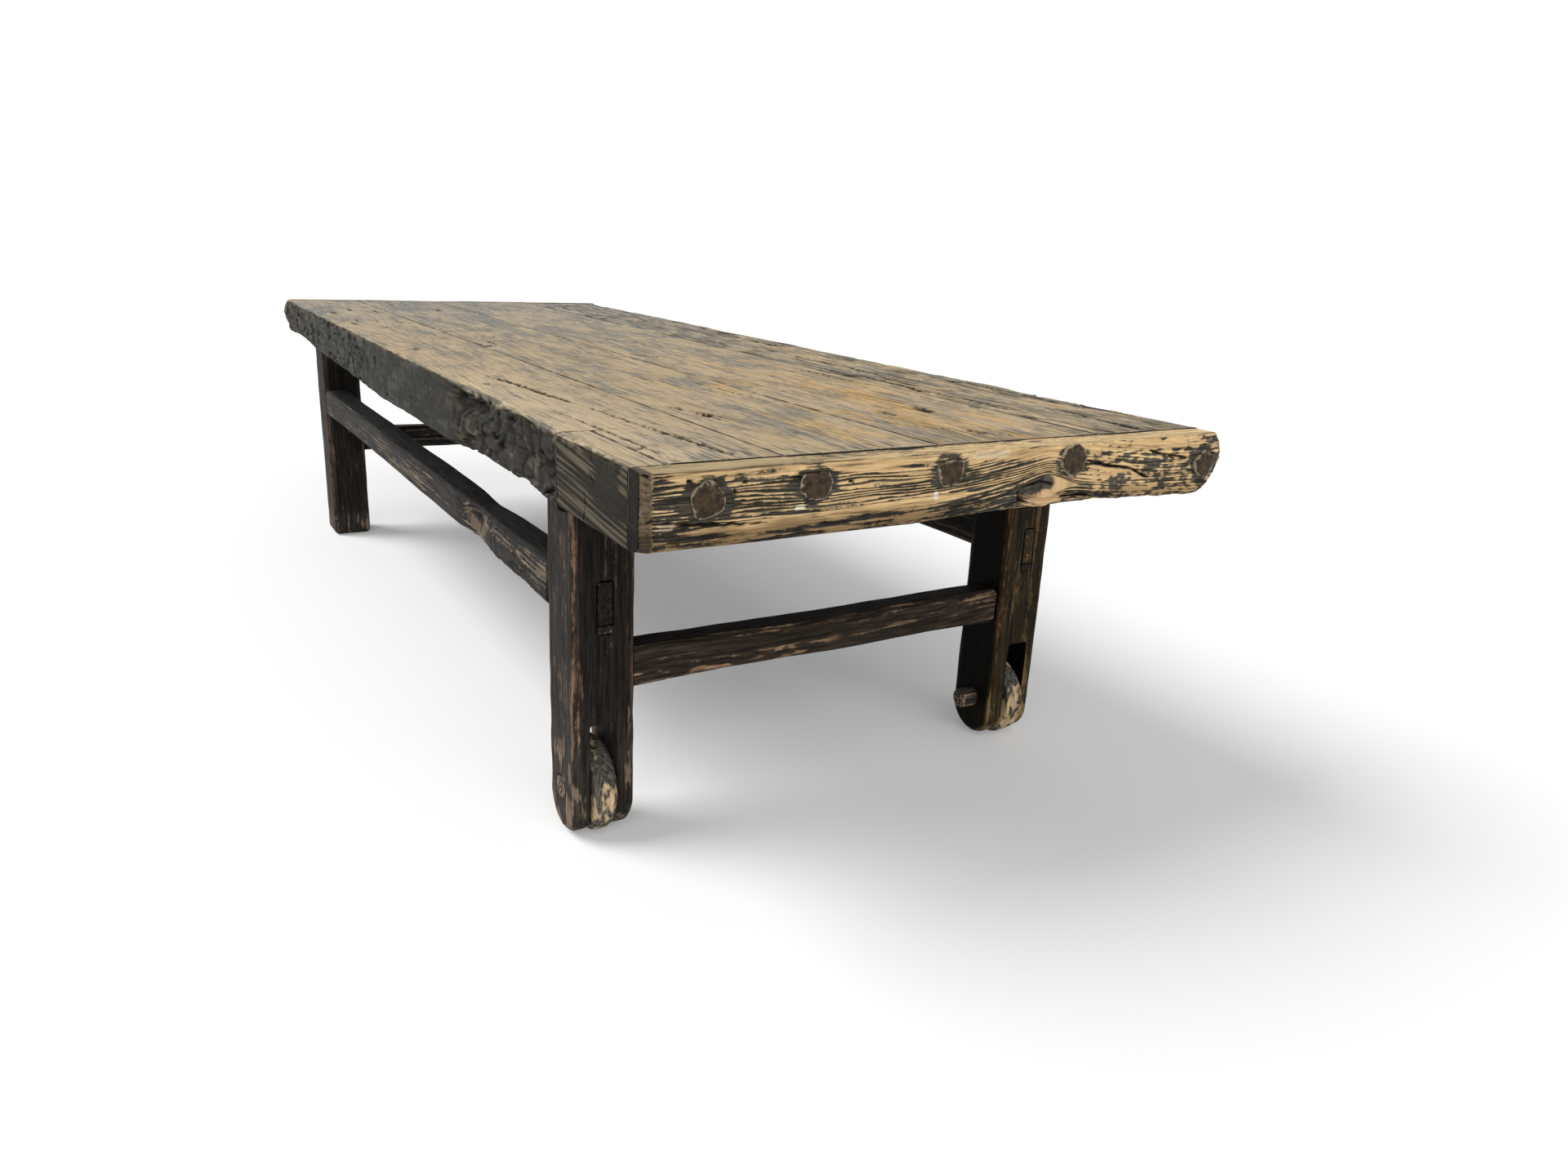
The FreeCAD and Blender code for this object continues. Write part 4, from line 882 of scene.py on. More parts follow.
def board_wear(spots, normals, seed, outward, lines, knots, rise):
    """What time does to an end board: depth, traits and how far each spot faces out."""
    along, up = spots[:, 1], spots[:, 2]
    grain = woodgrain(along, up, spots[:, 0], seed, 0.8, knots, rise)
    wander = 3.0 * noise(grain, (150, 12, 60), seed + 2) + 1.2 * noise(grain, (38, 5, 40), seed + 3)
    growth = (grain[:, 1] + wander) / BOARD_PITCH
    scoured = 0.62 * np.cos(2 * math.pi * growth) + 0.6 * noise(grain, (60, 4, 40), seed + 7)
    face = step(normals[:, 0] * outward, *FACING)
    iron_stain_and_painted_shadow = np.zeros(len(spots))
    for place, height, radius, _ in NAILS:
        gap = np.hypot((along - place) * 0.85, up - height) + 5 * noise(spots, (9, 14, 7), seed + 4)
        # Round each head a dark ring, partly iron stain and partly painted shadow of the head.
        iron_stain_and_painted_shadow = np.maximum(iron_stain_and_painted_shadow, step(-gap, -radius - 7, -radius) * face)
    cut = cracks(spots, lines, 1.2, seed)
    depth = 1.0 + 0.5 * noise(spots, (60, 90, 30), seed + 5) - face * 0.8 * scoured
    bare = 0.45 + 0.32 * noise(spots, (40, 60, 13), seed + 6) + 0.20 * scoured * face - 0.45 * iron_stain_and_painted_shadow
    traits = {
        "grain": grain,
        "growth": growth,
        "lined": face * (1 - 0.3 * iron_stain_and_painted_shadow),
        "relief": np.clip(scoured, -1, 1) * face,
        "bare": bare,
        "pit": np.clip(cut / 2.0 + 0.35 * iron_stain_and_painted_shadow * step(-scoured, -0.2, 0.4), 0, 1),
    }
    return np.maximum(depth + 0.5 * iron_stain_and_painted_shadow, 0.1) + cut, traits, face


def fleck_at(spots, place, height, wide, tall):
    """1 in the middle of a ragged oval on a board's face, 0 outside it."""
    ragged = 0.5 * noise(spots, (5, 5, 4), 148)
    return step(-np.hypot((spots[:, 1] - place) / wide, (spots[:, 2] - height) / tall) - ragged, -1.15, -0.85)


def wear_wheel_board(spots, normals):
    along, up = spots[:, 1], spots[:, 2]
    knots, rise = [(84, 385, 12)], (95, 85, 13)
    depth, traits, face = board_wear(spots, normals, 131, 1, WHEEL_BOARD_CRACKS, knots, rise)
    on_top = step(normals[:, 2], *FACING)
    left_end = step(-normals[:, 1], 0.75, 0.95)
    corner = step(-along, 326, 330) * (1 - left_end)
    rim = near(up, 434, 8) * between(along, -325, -300, 250, 330)
    line = near(up, 389 + 0.03 * (along + 300), 3.5) * between(along, -310, -280, -30, 30)
    sooted = near(along, -294, 40) * near(up, 413, 16) * (0.6 + noise(spots, (9, 16, 7), 149))
    grooved = near(up, 405, 17) * between(along, -240, -190, 50, 110)
    strip = step(-up - 4 * noise(spots, (40, 40, 9), 145), -395, -388) * step(-along, -50, 10)
    flaky = step(along, 120, 165)
    patches = noise(spots, (30, 30, 11), 139) + 0.5 * noise(spots, (12, 12, 6), 142)
    bare = traits["bare"] + face * (0.36 * rim + 0.55 * line - 0.55 * sooted - 0.13 * grooved)
    bare = bare + strip * (0.08 + 0.45 * noise(spots, (9, 60, 5), 153))
    bare = bare + face * flaky * (0.42 * patches + 0.46 * noise(spots, (6, 8, 4), 150) + 0.02)

    # The knot: a tan lump in a shallow groove, darkened with painted shadow along its left and lower edge, a
    # smooth dent on its left and crumpled wood on its right.
    aside, above = along - KNOT[0], up - KNOT[1]
    gap = np.hypot(aside / 23, above / 10.5) + 0.16 * noise(spots, (9, 9, 7), 143)
    lump = step(-gap, -1.05, -0.6)
    contour_with_painted_shadow = near(gap, 1.12, 0.13) * step(-aside - 0.4 * above, -8, 10)
    dent = near(along, 44, 17) * near(up, 386, 9)
    crumpled = between(along, 96, 118, 200, 235) * step(-up, -392, -384)
    folds = veins(spots, (20, 18, 8), 144, 2.6, 2)
    depth = depth + face * (-2.8 * lump + 1.4 * contour_with_painted_shadow + 1.8 * dent + crumpled * (0.4 + 2.2 * folds))
    folds = folds * crumpled
    bare = np.where(lump * face > 0.3, 0.62 + 0.2 * patches, bare) - face * (0.2 * dent + 0.25 * folds)

    bare = np.where(on_top > 0.5, 0.62 + 0.25 * noise(spots, (30, 90, 60), 140), bare)
    bare = np.where(left_end > 0.5, 0.12, bare * (1 - corner) + 0.75 * corner)
    flecks = face * np.maximum.reduce([strength * fleck_at(spots, *oval) for strength, *oval in FLECKS])
    unlined = (1 - 0.9 * np.maximum(corner, left_end)) * (1 - lump)
    traits["bare"] = bare + 0.6 * flecks
    traits["relief"] = traits["relief"] * (1 - 0.7 * strip) * (1 - 0.6 * flaky) * unlined
    for share, spread in ((0.6, strip), (0.45, flaky), (0.5, rim), (0.7, line)):
        unlined = unlined * (1 - share * spread)
    traits["lined"] = traits["lined"] * unlined
    # Painted shadow: the knot's contour is darkened along its left and lower edge.
    traits["pit"] = np.clip(traits["pit"] + face * (0.6 * contour_with_painted_shadow + 0.75 * folds), 0, 1) * (1 - flecks)
    traits["tint"] = tint(
        (strip, (0.42, 0.40, 0.40)), (flaky * face * step(-up, -396, -384), (0.66, 0.63, 0.62)),
        (corner, (0.20, 0.21, 0.27)), (left_end, (0.16, 0.155, 0.16)),
        (on_top, (0.80, 0.84, 0.90)), (on_top * step(-along, 60, 230), (0.68, 0.72, 0.76)),
        (dent * face, (0.6, 0.62, 0.75)), (crumpled * face, (0.68, 0.68, 0.72)),
        (lump * face, (0.85, 0.82, 0.86)), (flecks, (1.15, 1.5, 2.4)),
    )
    return depth, traits


def wear_plain_board(spots, normals):
    depth, traits, _ = board_wear(spots, normals, 151, -1, [], [(-60, 400, 9)], (-60, 60, 8))
    on_top = step(normals[:, 2], *FACING)
    bare_top = 0.50 + 0.30 * noise(spots, (30, 90, 60), 152)
    traits["bare"] = np.where(on_top > 0.5, bare_top, traits["bare"] - 0.08)
    traits["tint"] = tint((on_top, (0.72, 0.78, 0.88)))
    return depth, traits


BOARD_TURN = ((0, -1, 0), (1, 0, 0), (0, 0, 1))
for name, steps, rounds, count, wear in (
    ("wheel_end_board", (1.0, 8, 2.2, 0.75), (0.8, 3, 10, 4), 500, wear_wheel_board),
    ("plain_end_board", (1.4, 1.4, 4, 8), (4, 10, 3, 0.8), 300, wear_plain_board),
):
    low_corner, high_corner = node_box(name)
    along = np.linspace(low_corner[1] + END_GAP, high_corner[1] - END_GAP, count)
    foot_corner, top_corner = sections(name, along, axis=1)
    crumbled = np.clip(1.2 + 1.6 * wavering(along, 24, 31) + 0.8 * wavering(along, 9, 32), 0, 4)
    outermost, innermost = np.median(top_corner[:, 0]), np.median(foot_corner[:, 0])
    rings = bar(
        along,
        -np.minimum(top_corner[:, 0], outermost) + 0.2,
        -np.maximum(foot_corner[:, 0], innermost),
        foot_corner[:, 2] + 0.4 + crumbled * step(along, 100, 140),
        top_corner[:, 2],
        steps,
        rounds,
    )
    board = skin(f"{name}_elm", rings, BOARD_FINISH, BOARD_TURN)
    settle(board, "table", "end_board_elm", name, wear=wear)

# Corner patch: a block let into the front corner of the top, where the plank had rotted. Its side is
# dark and finely furrowed from the plane that fitted it, and its upper arris has crumbled.
PATCH_CRACKS = drawn(ON_FRONT, [
    (1.6, 4, 778, 402, 781, 388, 776, 372),
    (1.4, 3, 790, 420, 801, 410),
])
PLAIN_PATCH = (795, 812, 846, 858)
PATCH_VOXEL = 0.9
SAME_PLACE = 1e-6
SOFTENING = 0.5


def bake_modifiers(piece):
    """Puts the mesh that the modifiers make in the place of the one that they start from."""
    seen = piece.evaluated_get(bpy.context.evaluated_depsgraph_get())
    mesh = bpy.data.meshes.new_from_object(seen)
    piece.modifiers.clear()
    piece.data = mesh


def rebuild(node_name, wear, slot_name, finish, voxel, softened=3, body="table", wood="elm"):
    """Stands a worn copy of a CAD node in for it, with even faces and softened arrises."""
    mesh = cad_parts[node_name].data.copy()
    shape = bmesh.new()
    shape.from_mesh(mesh)
    bmesh.ops.remove_doubles(shape, verts=shape.verts, dist=SAME_PLACE)
    shape.to_mesh(mesh)
    shape.free()
    piece = placed(f"{node_name}_{wood}", mesh)
    divide = piece.modifiers.new("even_faces", "REMESH")
    divide.mode = "VOXEL"
    divide.voxel_size = voxel * MM
    divide.use_smooth_shade = True
    soften = piece.modifiers.new("soft_arrises", "SMOOTH")
    soften.factor = SOFTENING
    soften.iterations = softened
    bake_modifiers(piece)
    piece.data.materials.clear()
    piece.data.materials.append(finish)
    settle(piece, body, slot_name, node_name, wear=wear)


def wear_patch(spots, normals):
    along, across, up = spots.T
    side = step(-normals[:, 1], *FACING)
    on_top = step(normals[:, 2], *FACING)
    heights = np.where(on_top > 0.5, across, up + 0.10 * along)
    grain = woodgrain(along, heights, np.zeros(len(spots)), 171, 0.4)
    furrows = noise(grain, (130, 3.0, 40), 172) + 0.4 * noise(grain, (60, 6, 40), 175)
    plain = between(along, *PLAIN_PATCH) * step(up, 385, 398) * side
    planed = side * (1 - plain)
    crumble = near(up, TOP_HEIGHT, 9) * step(-across, 326, 337)
    crumble = crumble * step(noise(spots, (9, 9, 6), 173), -0.1, 0.5)
    cut = cracks(spots, PATCH_CRACKS, 1.0) * side
    depth = 0.9 + 0.75 * furrows * (side * (1 - 0.8 * plain) + 0.5 * on_top)
    depth = depth + 0.3 * noise(spots, (30, 30, 20), 174)
    edges = 0.25 * near(up, 436, 5) + 0.3 * near(up, 371, 4)
    on_side = 0.32 - 0.80 * furrows * (1 - plain) - 0.15 * plain + edges
    traits = {
        "grain": grain,
        "relief": np.clip(-furrows, -1, 1) * (1 - plain),
        "bare": np.where(on_top > 0.5, 0.66 - 0.50 * furrows, on_side),
        "pit": np.clip(cut / 2 + 0.85 * crumble + 0.8 * planed * step(furrows, 0.25, 0.7), 0, 1),
        "tint": tint((1 - on_top, (0.078, 0.078, 0.073)), (on_top, (1.02, 1.04, 1.08)),
                     (planed * step(-furrows, 0.05, 0.45), (2.9, 3.1, 3.7))),
        "lined": np.full(len(spots), 0.4),
    }
    return np.maximum(depth, 0.85) + cut + 2.2 * crumble, traits


rebuild("corner_patch", wear_patch, "top_elm", TOP_FINISH, PATCH_VOXEL)

# Wheeled legs: square elm posts with rounded feet, slotted for the wheels and mortised for the
# stretchers. Black with smoke and hands, they are scuffed bare along the arrises and near the floor.
FRAME_FINISH = old_elm(
    "smoky_frame_elm",
    bare=((0.115, 0.082, 0.058), (0.34, 0.245, 0.165)),
    patina=((0.0150, 0.0125, 0.0105), (0.060, 0.051, 0.043)),
    flake=0.45,
    edge=0.13,
    gloss=0.6,
    figure=0.28,
    shine=0.06,
)
FRAME_VOXEL = 1.7
SQUARE_ON = (0.5, 0.9)


def leg_wear(seed, front, scuffed_below, shade, hue=(1, 1, 1), rubbed=0.22, inside=0.22, lined=0.8):
    """Wear of a leg. `front` is the side of the table it stands on, and `shade` how bare it is.

    `rubbed` is how much barer its arrises are, `inside` how light the painted shade leaves its face
    under the table, and `lined` how strongly its growth rings show.
    """
    def wear(spots, normals):
        along, across, up = spots.T
        low, high = spots.min(axis=0), spots.max(axis=0)
        middle, half = (low + high) / 2, (high - low) / 2
        grain = woodgrain(up, along, across, seed, 0.5)
        relief = ridges(grain, 5, seed + 2)
        inward = sum(half[axis] - np.abs(spots[:, axis] - middle[axis]) for axis in (0, 1))
        arris = near(inward, 0, 8)
        band = near(inward + 2 * noise(spots, (20, 20, 50), seed + 9), 0, 9, 4)
        scuffs = step(-up, -scuffed_below, -scuffed_below * 0.6)
        small = checks(seed, 26, low, high - (0, 0, 60), 120, 1.0, 2.2, axis=2)
        cut = cracks(spots, small, 0.8, seed)
        depth = 0.7 + 0.35 * relief + 0.5 * noise(spots, (40, 40, 90), seed + 3)
        depth = depth + arris * np.clip(1.5 * noise(spots, (25, 25, 35), seed + 4), -0.4, 2)
        outer_side, painted_shade_side = (step(side * normals[:, 1] * front, *SQUARE_ON) for side in (1, -1))
        bare = shade + 0.10 * noise(spots, (30, 30, 120), seed + 5) + rubbed * band + 0.05 * outer_side
        scuffed = 0.03 + 0.55 * noise(spots, (14, 14, 34), seed + 6) + 0.2 * noise(spots, (5, 5, 9), seed + 7)
        sooty = (1 - outer_side) * (1 - 0.7 * scuffs) * (1 - band)
        traits = {
            "grain": grain,
            "relief": np.clip(relief, -1, 1),
            "bare": bare + scuffs * scuffed,
            "tint": tint(
                # Painted shade: the face turned in under the table is darkened to `inside`, for the shadow of
                # the top.
                (sooty, (0.45, 0.45, 0.45)), (painted_shade_side * (1 - band), (inside, inside, inside)),
                (band * (1 - scuffs), (1.12, 0.90, 0.82)), (np.ones(len(spots)), hue),
                (outer_side * (1 - scuffs) * (1 - band), (0.66, 0.66, 0.66)),
            ),
            "lined": np.full(len(spots), lined),
            "pit": np.clip(cut / 1.5, 0, 1),
        }
        return np.maximum(depth, 0.1) + cut, traits
    return wear


for name, wear in (
    ("front_wheel_leg", leg_wear(201, -1, 150, 0.20, (0.78, 0.77, 0.77))),
    ("back_wheel_leg", leg_wear(221, 1, 90, 0.38, (1.12, 0.98, 0.60), -0.10, 0.03, 0.15)),
):
    rebuild(name, wear, "dark_frame_elm", FRAME_FINISH, FRAME_VOXEL, 1)

# Plain legs: square elm posts at the other end, a little tapered, without slots or wheels. They are
# tenoned into the planks and as black as the others.
for name, seed, front in (("front_plain_leg", 241, -1), ("back_plain_leg", 261, 1)):
    wear = leg_wear(seed, front, 60, 0.14, (0.8, 0.8, 0.82))
    rebuild(name, wear, "dark_frame_elm", FRAME_FINISH, FRAME_VOXEL, 1)

# Long stretchers: natural waving rails between the legs of each side, tenoned right through them.
# A knot hollow sits in the front one, and the grain swirls round it.
STRETCHER_VOXEL = 2.2
IN_LEG = (686, 690)


def rail_wear(seed, axis, knots=(), hollow=None, hue=(1, 1, 1), tenon=(0.45, 0.45, 0.45)):
    """Wear of a stretcher along the given axis. `hue` is its shade, and `tenon` that of its ends."""
    def wear(spots, normals):
        run, cross, up = spots[:, axis], spots[:, 1 - axis], spots[:, 2]
        grain = woodgrain(run, up, cross, seed, 1.6, knots)
        relief = ridges(grain, 6, seed + 2)
        low, high = spots.min(axis=0), spots.max(axis=0)
        on_top = step(normals[:, 2], *SQUARE_ON)
        small = checks(seed, 40, low, high - np.eye(3)[axis] * 90, 110, 1.2, 2.6, axis)
        cut = cracks(spots, small, 1.0, seed)
        depth = 0.8 + 0.75 * relief * (1 - on_top) + 0.5 * noise(spots, (90, 40, 40), seed + 3)
        pit = cut / 1.8
        bare = 0.21 + 0.32 * relief + 0.2 * noise(grain, (120, 14, 14), seed + 4)
        streaked = 1.2 * noise(grain, (70, 9, 9), seed + 13) + 0.8 * noise(grain, (26, 4, 5), seed + 14)
        if hollow:
            place, height, reach = hollow
            gap = np.hypot((run - place) / (2.4 * reach), (up - height) / reach)
            gap = gap + 0.3 * noise(spots, (20, 20, 12), seed + 5)
            dent = near(gap, 0, 1) * (1 - on_top)
            gnarled = between(run - place, -70, -20, 190, 280) * (1 - on_top)
            folded = spots + 14 * drift(spots, (30, 30, 22), seed + 6)
            curls = veins(folded, (24, 20, 11), seed + 10, 3, 2)
            holes = step(noise(folded, (17, 17, 9), seed + 11), 0.42, 0.7)
            depth = depth + 4 * dent + gnarled * (1.2 + 2.2 * holes - 1.1 * curls)
            # Painted shade: the middle of the knot hollow is made black; the holes in the gnarled wood are
            # dark marks of their own.
            pit = pit + step(dent, 0.5, 0.85) + 0.8 * gnarled * holes
            bare = bare + 0.5 * near(gap, 1.3, 0.4) + gnarled * (0.5 * curls - 0.1)
        in_leg = step(np.abs(run), *IN_LEG)
        painted_shade_side = step(-normals[:, 1 - axis] * np.sign(cross.mean()), *SQUARE_ON)
        traits = {
            "grain": grain,
            "relief": np.clip(relief, -1, 1),
            "bare": bare * (1 - 0.9 * on_top) - 0.15 * in_leg,
            "tint": tint(
                (on_top, (0.62, 0.66, 0.72)), (in_leg, tenon), (np.ones(len(spots)), hue),
                (np.clip(streaked, -0.4, 1) * (1 - on_top), (1.8, 1.85, 1.9)),
                # Painted shade: the side turned in under the table is darkened.
                (painted_shade_side, (0.42, 0.42, 0.42)),
            ),
            "pit": np.clip(pit, 0, 1),
        }
        return np.maximum(depth, 0.1) + cut, traits
    return wear


for name, wear in (
    ("front_long_stretcher", rail_wear(
        281, 0, [(345, 268, 15)], (348, 272, 13), hue=(0.54, 0.57, 0.59), tenon=(0.6, 0.57, 0.53))),
    ("back_long_stretcher", rail_wear(301, 0, [(-200, 262, 8)], hue=(0.6, 0.6, 0.6), tenon=(1.7, 1.4, 0.85))),
):
    rebuild(name, wear, "dark_frame_elm", FRAME_FINISH, STRETCHER_VOXEL, 2)

# End stretchers: lower rails across each end, tenoned blind into the legs. The one at the wheeled
# end is rubbed to tan wood along its lower edge.
END_VOXEL = 1.5


def wear_end_rail(spots, normals):
    depth, traits = rail_wear(321, 1, hue=(0.66, 0.58, 0.50))(spots, normals)
    across, up = spots[:, 1], spots[:, 2]
    low_edge = step(-up, -196, -170) * step(-across, -40, 60)
    arris = near(up, 207, 5) * step(normals[:, 0], 0.1, 0.5)
    patches = noise(spots, (30, 40, 7), 325) + 0.5 * noise(spots, (12, 14, 4), 326)
    tan = np.maximum(low_edge * step(patches, 0, 0.4), 0.6 * arris)
    traits["bare"] = traits["bare"] - 0.08 + low_edge * (0.20 + 0.8 * patches) + 0.3 * arris
    traits["tint"] = traits["tint"] * tint((tan, (1.7, 1.7, 1.6)))
    return depth, traits


for name, wear in (("wheel_end_stretcher", wear_end_rail), ("plain_end_stretcher", rail_wear(341, 1))):
    rebuild(name, wear, "dark_frame_elm", FRAME_FINISH, END_VOXEL)

# Tenon wedges: thin hardwood wedges driven under the through tenons from outside each leg, where the
# mortises are flared for them. They lock the long stretchers in their legs.
WEDGE_VOXEL = 1.0


def wear_wedges(spots, normals):
    grain = woodgrain(*spots.T, 361, 0.3)
    relief = ridges(grain, 3, 362)
    dulled = np.full((len(spots), 3), 0.6)
    traits = {"grain": grain, "relief": relief, "bare": 0.12 + 0.2 * relief, "tint": dulled}
    return np.maximum(0.3 + 0.25 * relief, 0.05), traits


rebuild("tenon_wedges", wear_wedges, "dark_frame_elm", FRAME_FINISH, WEDGE_VOXEL)

# Forged nails: big square-shanked iron nails with hammered heads, five through each end board. The
# heads are rust brown with a pale rim, partly rubbed iron and partly painted highlight, and no two are the
# same.
NAIL_DEPTH = 2.27
HEAD_SINK = 1.85
HEAD_SIDES = 64
SHANK_WIDTH = 8.6
SHANK_LENGTH = 90
TIP_WIDTH = 1.2
FLAT_LEVEL, FLATTENING = 0.5, 0.92
RAGGED_RIM, HAMMERED_FACE = 8.5, 1.6


def made(name, tree, start, **sizes):
    """The plain mesh that the tree makes from the starting mesh and these sizes."""
    piece = placed(name, start)
    growth = piece.modifiers.new(tree.name, "NODES")
    growth.node_group = tree
    for socket in tree.interface.items_tree:
        if socket.in_out == "INPUT" and socket.name in sizes:
            growth[socket.identifier] = sizes[socket.name]
    bake_modifiers(piece)
    piece.data.shade_smooth()
    return piece


IRON, tree = blank("forged_iron")
place = node(tree, "ShaderNodeTexCoord", output="Object")
rust = stretched_noise(place, (160, 160, 160), 5, 0.7)
grit = stretched_noise(place, (620, 620, 620), 4, 0.7)
colour = blend_colour(tree, eased(rust, 0.35, 0.68), (0.018, 0.012, 0.007), (0.080, 0.051, 0.027))
colour = blend_colour(tree, eased(grit, 0.60, 0.74), colour, (0.15, 0.112, 0.075))
# Painted highlight and wear: the outer rim of each head is pale, partly rubbed iron, partly a highlight on
# its edge.
rubbed = eased(rust * 0.8 + trait_of(tree, "rim"), 1.30, 1.40)
coat(tree, blend_colour(tree, rubbed, colour, (0.29, 0.24, 0.18)), 0.62, 0.2, grit, 0.0005, metallic=0.2)

# A row of nails from points that carry each head's radius and whether its top is flattened. A head
# is a disc that bulges over its rim, hammered uneven, and a tapered square shank goes in behind it.
tree = bpy.data.node_groups.new("forged_nail_row", "GeometryNodeTree")
for label, kind in (
    ("Points", "Geometry"), ("Turn", "Rotation"), ("Depth", "Float"), ("Shank", "Float"), ("Reach", "Float"),
    ("Finish", "Material"),
):
    tree.interface.new_socket(label, in_out="INPUT", socket_type=f"NodeSocket{kind}")
tree.interface.new_socket("Geometry", in_out="OUTPUT", socket_type="NodeSocketGeometry")
points, turn, depth, width, reach, finish = (
    Signal(socket) for socket in list(tree.nodes.new("NodeGroupInput").outputs)[:6]
)


def vector(operation, *terms, output=0, **inputs):
    """A function of vectors. The inputs that have no number are given by name."""
    terms = {**dict(enumerate(terms)), **inputs}
    return node(tree, "ShaderNodeVectorMath", terms, output, operation=operation)


def height_of(place, part="Z"):
    return node(tree, "ShaderNodeSeparateXYZ", {0: place}, part)


def lift(height):
    return node(tree, "ShaderNodeCombineXYZ", {"Z": height})


def named(name, kind="FLOAT"):
    return node(tree, "GeometryNodeInputNamedAttribute", {"Name": name}, data_type=kind)


def kept_as(name, shape, value, kind="FLOAT"):
    """The shape, with the value stored on it under this name."""
    inputs = {"Geometry": shape, "Name": name, "Value": value}
    return node(tree, "GeometryNodeStoreNamedAttribute", inputs, data_type=kind)


def moved(shape, offset):
    return node(tree, "GeometryNodeSetPosition", {"Geometry": shape, "Offset": offset})


def uneven(lumps, detail, middle, reach):
    """Noise in three directions: how many lumps per metre, its middle, and how far it reaches."""
    pattern = node(tree, "ShaderNodeTexNoise", {"Vector": spot, "Scale": lumps, "Detail": detail}, "Color")
    return vector("MULTIPLY", vector("SUBTRACT", pattern, middle), reach)


def on_points(shape, **inputs):
    inputs = {"Points": points, "Instance": shape, "Rotation": turn, **inputs}
    return node(tree, "GeometryNodeInstanceOnPoints", inputs)


def real(shape):
    return node(tree, "GeometryNodeRealizeInstances", {"Geometry": shape})


spot = node(tree, "GeometryNodeInputPosition")
from_middle = vector("LENGTH", vector("MULTIPLY", spot, (1, 1, 0)), output="Value")
disc = node(tree, "GeometryNodeMeshCylinder", {
    "Vertices": HEAD_SIDES, "Side Segments": 3, "Fill Segments": 10, "Radius": 1.0, "Depth": 2.0,
}, fill_type="TRIANGLE_FAN")
disc = kept_as("rim", kept_as("spot", disc, spot, "FLOAT_VECTOR"), from_middle)
bulge = maths("SUBTRACT", 1.0, maths("POWER", from_middle, 4.0))
disc = moved(disc, lift(bulge * maths("GREATER_THAN", height_of(spot), 0.9) * 0.5))
radius = named("radius")
head_size = node(tree, "ShaderNodeCombineXYZ", {"X": radius, "Y": radius, "Z": depth})
heads = real(on_points(disc, Scale=head_size))
over = maths("MAXIMUM", height_of(named("spot", "FLOAT_VECTOR"), "Y") - FLAT_LEVEL, 0.0)
lowered = over * radius * (named("flat") * -FLATTENING)
ragged = uneven(85.0, 1.0, (0.5, 0.5, 0.5), (0.0, RAGGED_RIM * MM, RAGGED_RIM * MM))
heads = moved(heads, vector("SCALE", ragged, Scale=named("rim")))
heads = moved(heads, uneven(210.0, 2.0, (0.6, 0.5, 0.5), (HAMMERED_FACE * MM, 0.0, 0.0)))
heads = moved(heads, lift(lowered))
shank = node(tree, "GeometryNodeMeshCone", {
    "Vertices": 4, "Side Segments": 6, "Radius Top": width, "Radius Bottom": TIP_WIDTH * MM, "Depth": reach,
})
shank = node(tree, "GeometryNodeTransform", {"Geometry": shank, "Translation": lift(reach * -1.0)})
row = node(tree, "GeometryNodeJoinGeometry", {0: heads})
tree.links.new(on_points(shank).socket, row.socket.node.inputs[0])
coated = node(tree, "GeometryNodeSetMaterial", {"Geometry": real(row), "Material": finish})
node(tree, "NodeGroupOutput", {"Geometry": coated})

across, up, radii, flats = zip(*NAILS)
for name, end in (("wheel_end_nails", 1), ("plain_end_nails", -1)):
    starts = bpy.data.meshes.new(f"{name}_places")
    face = max(abs(corner[0]) for corner in node_box(name)) - HEAD_SINK * NAIL_DEPTH
    starts.from_pydata([(end * face * MM, y * MM, z * MM) for y, z in zip(across, up)], [], [])
    for trait, values in (("radius", [radius * MM for radius in radii]), ("flat", flats)):
        starts.attributes.new(trait, "FLOAT", "POINT").data.foreach_set("value", values)
    quarter = math.pi / 2
    nails = made(f"{name}_iron", tree, starts, Turn=(quarter, 0, end * quarter), Depth=NAIL_DEPTH * MM,
                 Shank=SHANK_WIDTH * MM * math.sqrt(0.5), Reach=SHANK_LENGTH * MM, Finish=IRON)
    settle(nails, "table", "forged_iron", name)

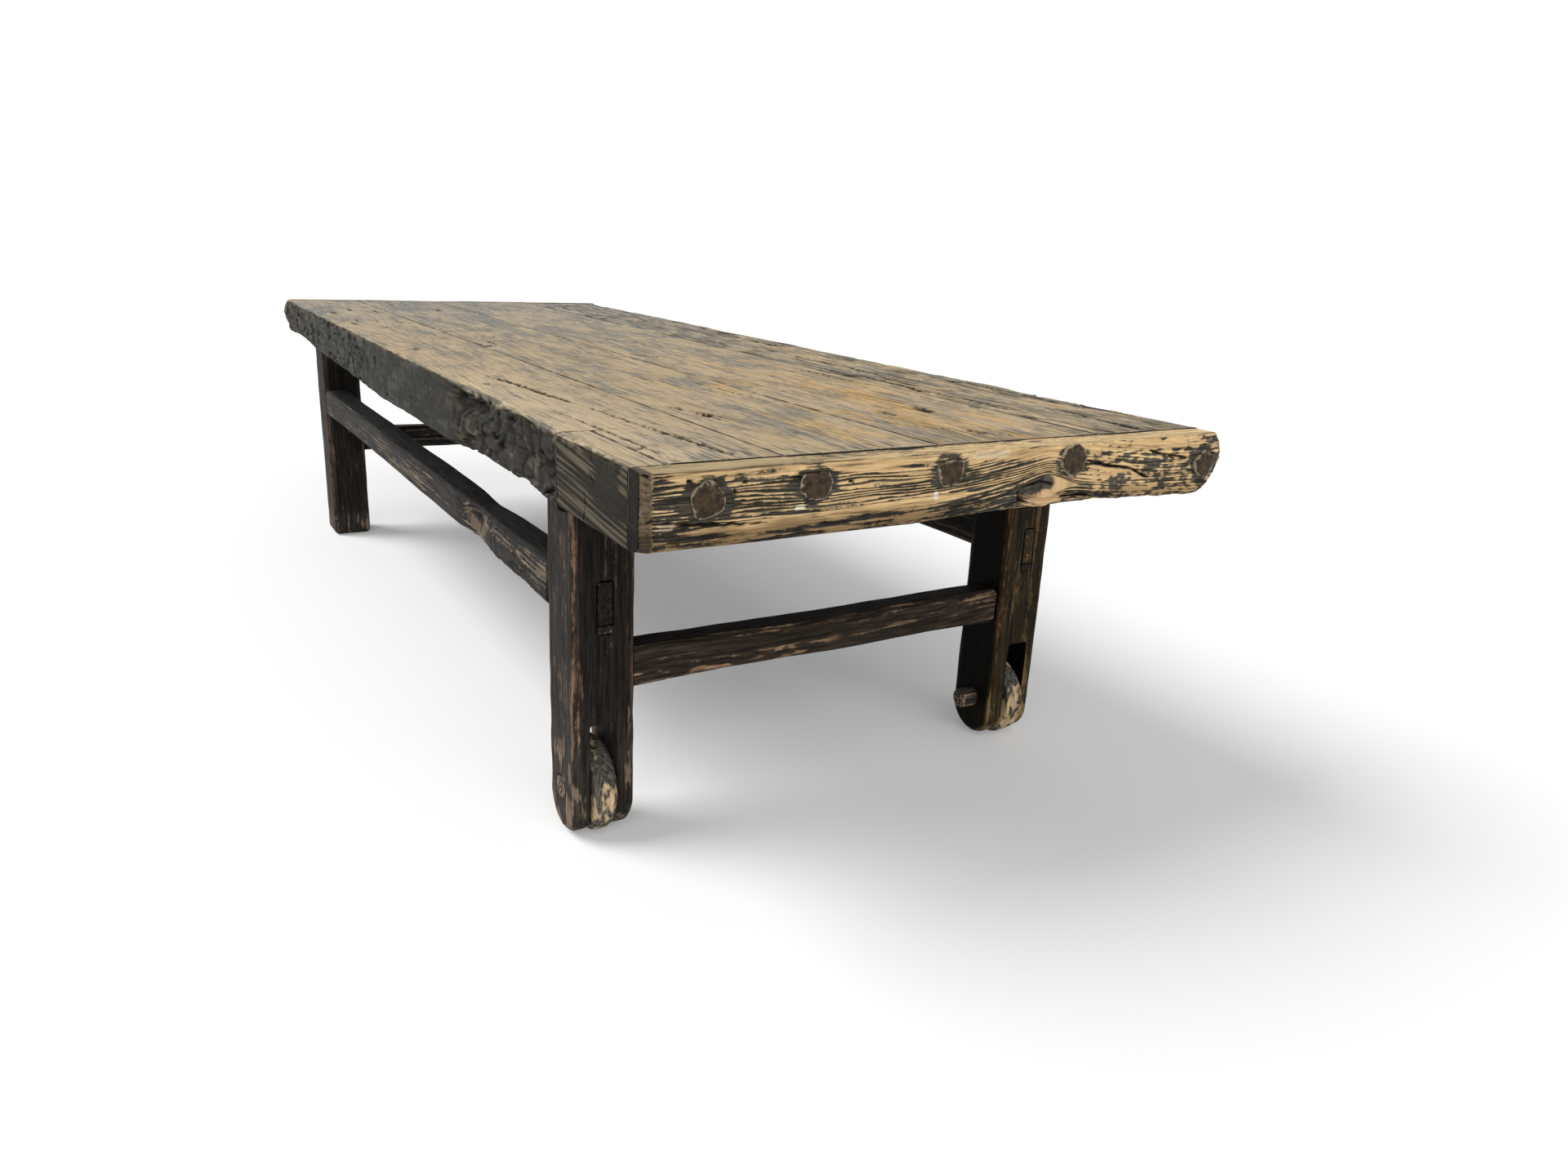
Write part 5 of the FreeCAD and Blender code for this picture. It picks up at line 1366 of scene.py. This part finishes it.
# Wheels: solid wooden discs that turn in the slots of the legs, each on its own wooden peg. Their rims
# are dented and rubbed bare by the floor.
WHEEL_FINISH = old_elm(
    "wheel_wood",
    bare=((0.34, 0.24, 0.13), (0.68, 0.51, 0.31)),
    patina=((0.026, 0.024, 0.020), (0.135, 0.122, 0.10)),
    flake=0.5,
    edge=0.14,
    streak=0.5,
    figure=0.05,
)
WHEEL_VOXEL = 1.1


def wheel_wear(seed):
    """Wear of a wheel: a dented rim, whose upper part inside the slot is darkened with painted shade."""
    def wear(spots, normals):
        middle = (spots.min(axis=0) + spots.max(axis=0)) / 2
        aside, _, above = (spots - middle).T
        grain = woodgrain(spots[:, 2], spots[:, 0], spots[:, 1], seed, 0.5)
        relief = ridges(grain, 5, seed + 2)
        rim = step(np.hypot(aside, above), 30, 50)
        dents = layered(spots, (22, 16, 22), 3, seed + 3)
        traits = {
            "grain": grain,
            "relief": relief,
            # Painted shade: the rim is made darker high up, where it sits inside the slot under the leg.
            "bare": 0.44 + 0.62 * dents * rim + 0.12 * relief - 0.42 * step(above, 4, 26) * rim,
            "pit": step(noise(spots, (9, 9, 9), seed + 4), 0.6, 0.9) * 0.8,
        }
        return np.maximum(0.7 + 0.4 * relief + 0.9 * dents * rim, 0.05), traits
    return wear


for name, seed in (("front_wheel", 381), ("back_wheel", 391)):
    rebuild(name, wheel_wear(seed), "wheel_wood", WHEEL_FINISH, WHEEL_VOXEL, body=name, wood="wood")

# Axle pegs: round wooden pegs driven through the feet of the wheeled legs, across their slots. Their
# ends stand out on both sides.
PEG_VOXEL = 0.9


def wear_peg(spots, normals):
    grain = woodgrain(spots[:, 1], spots[:, 0], spots[:, 2], 401, 0.3)
    relief = ridges(grain, 4, 402)
    traits = {"grain": grain, "relief": relief, "bare": 0.3 + 0.25 * relief + 0.15 * np.abs(normals[:, 1])}
    return np.maximum(0.4 + 0.3 * relief + 0.3 * noise(spots, (12, 12, 12), 403), 0.05), traits


for name in ("front_axle_peg", "back_axle_peg"):
    rebuild(name, wear_peg, "wheel_wood", FRAME_FINISH, PEG_VOXEL, wood="wood")
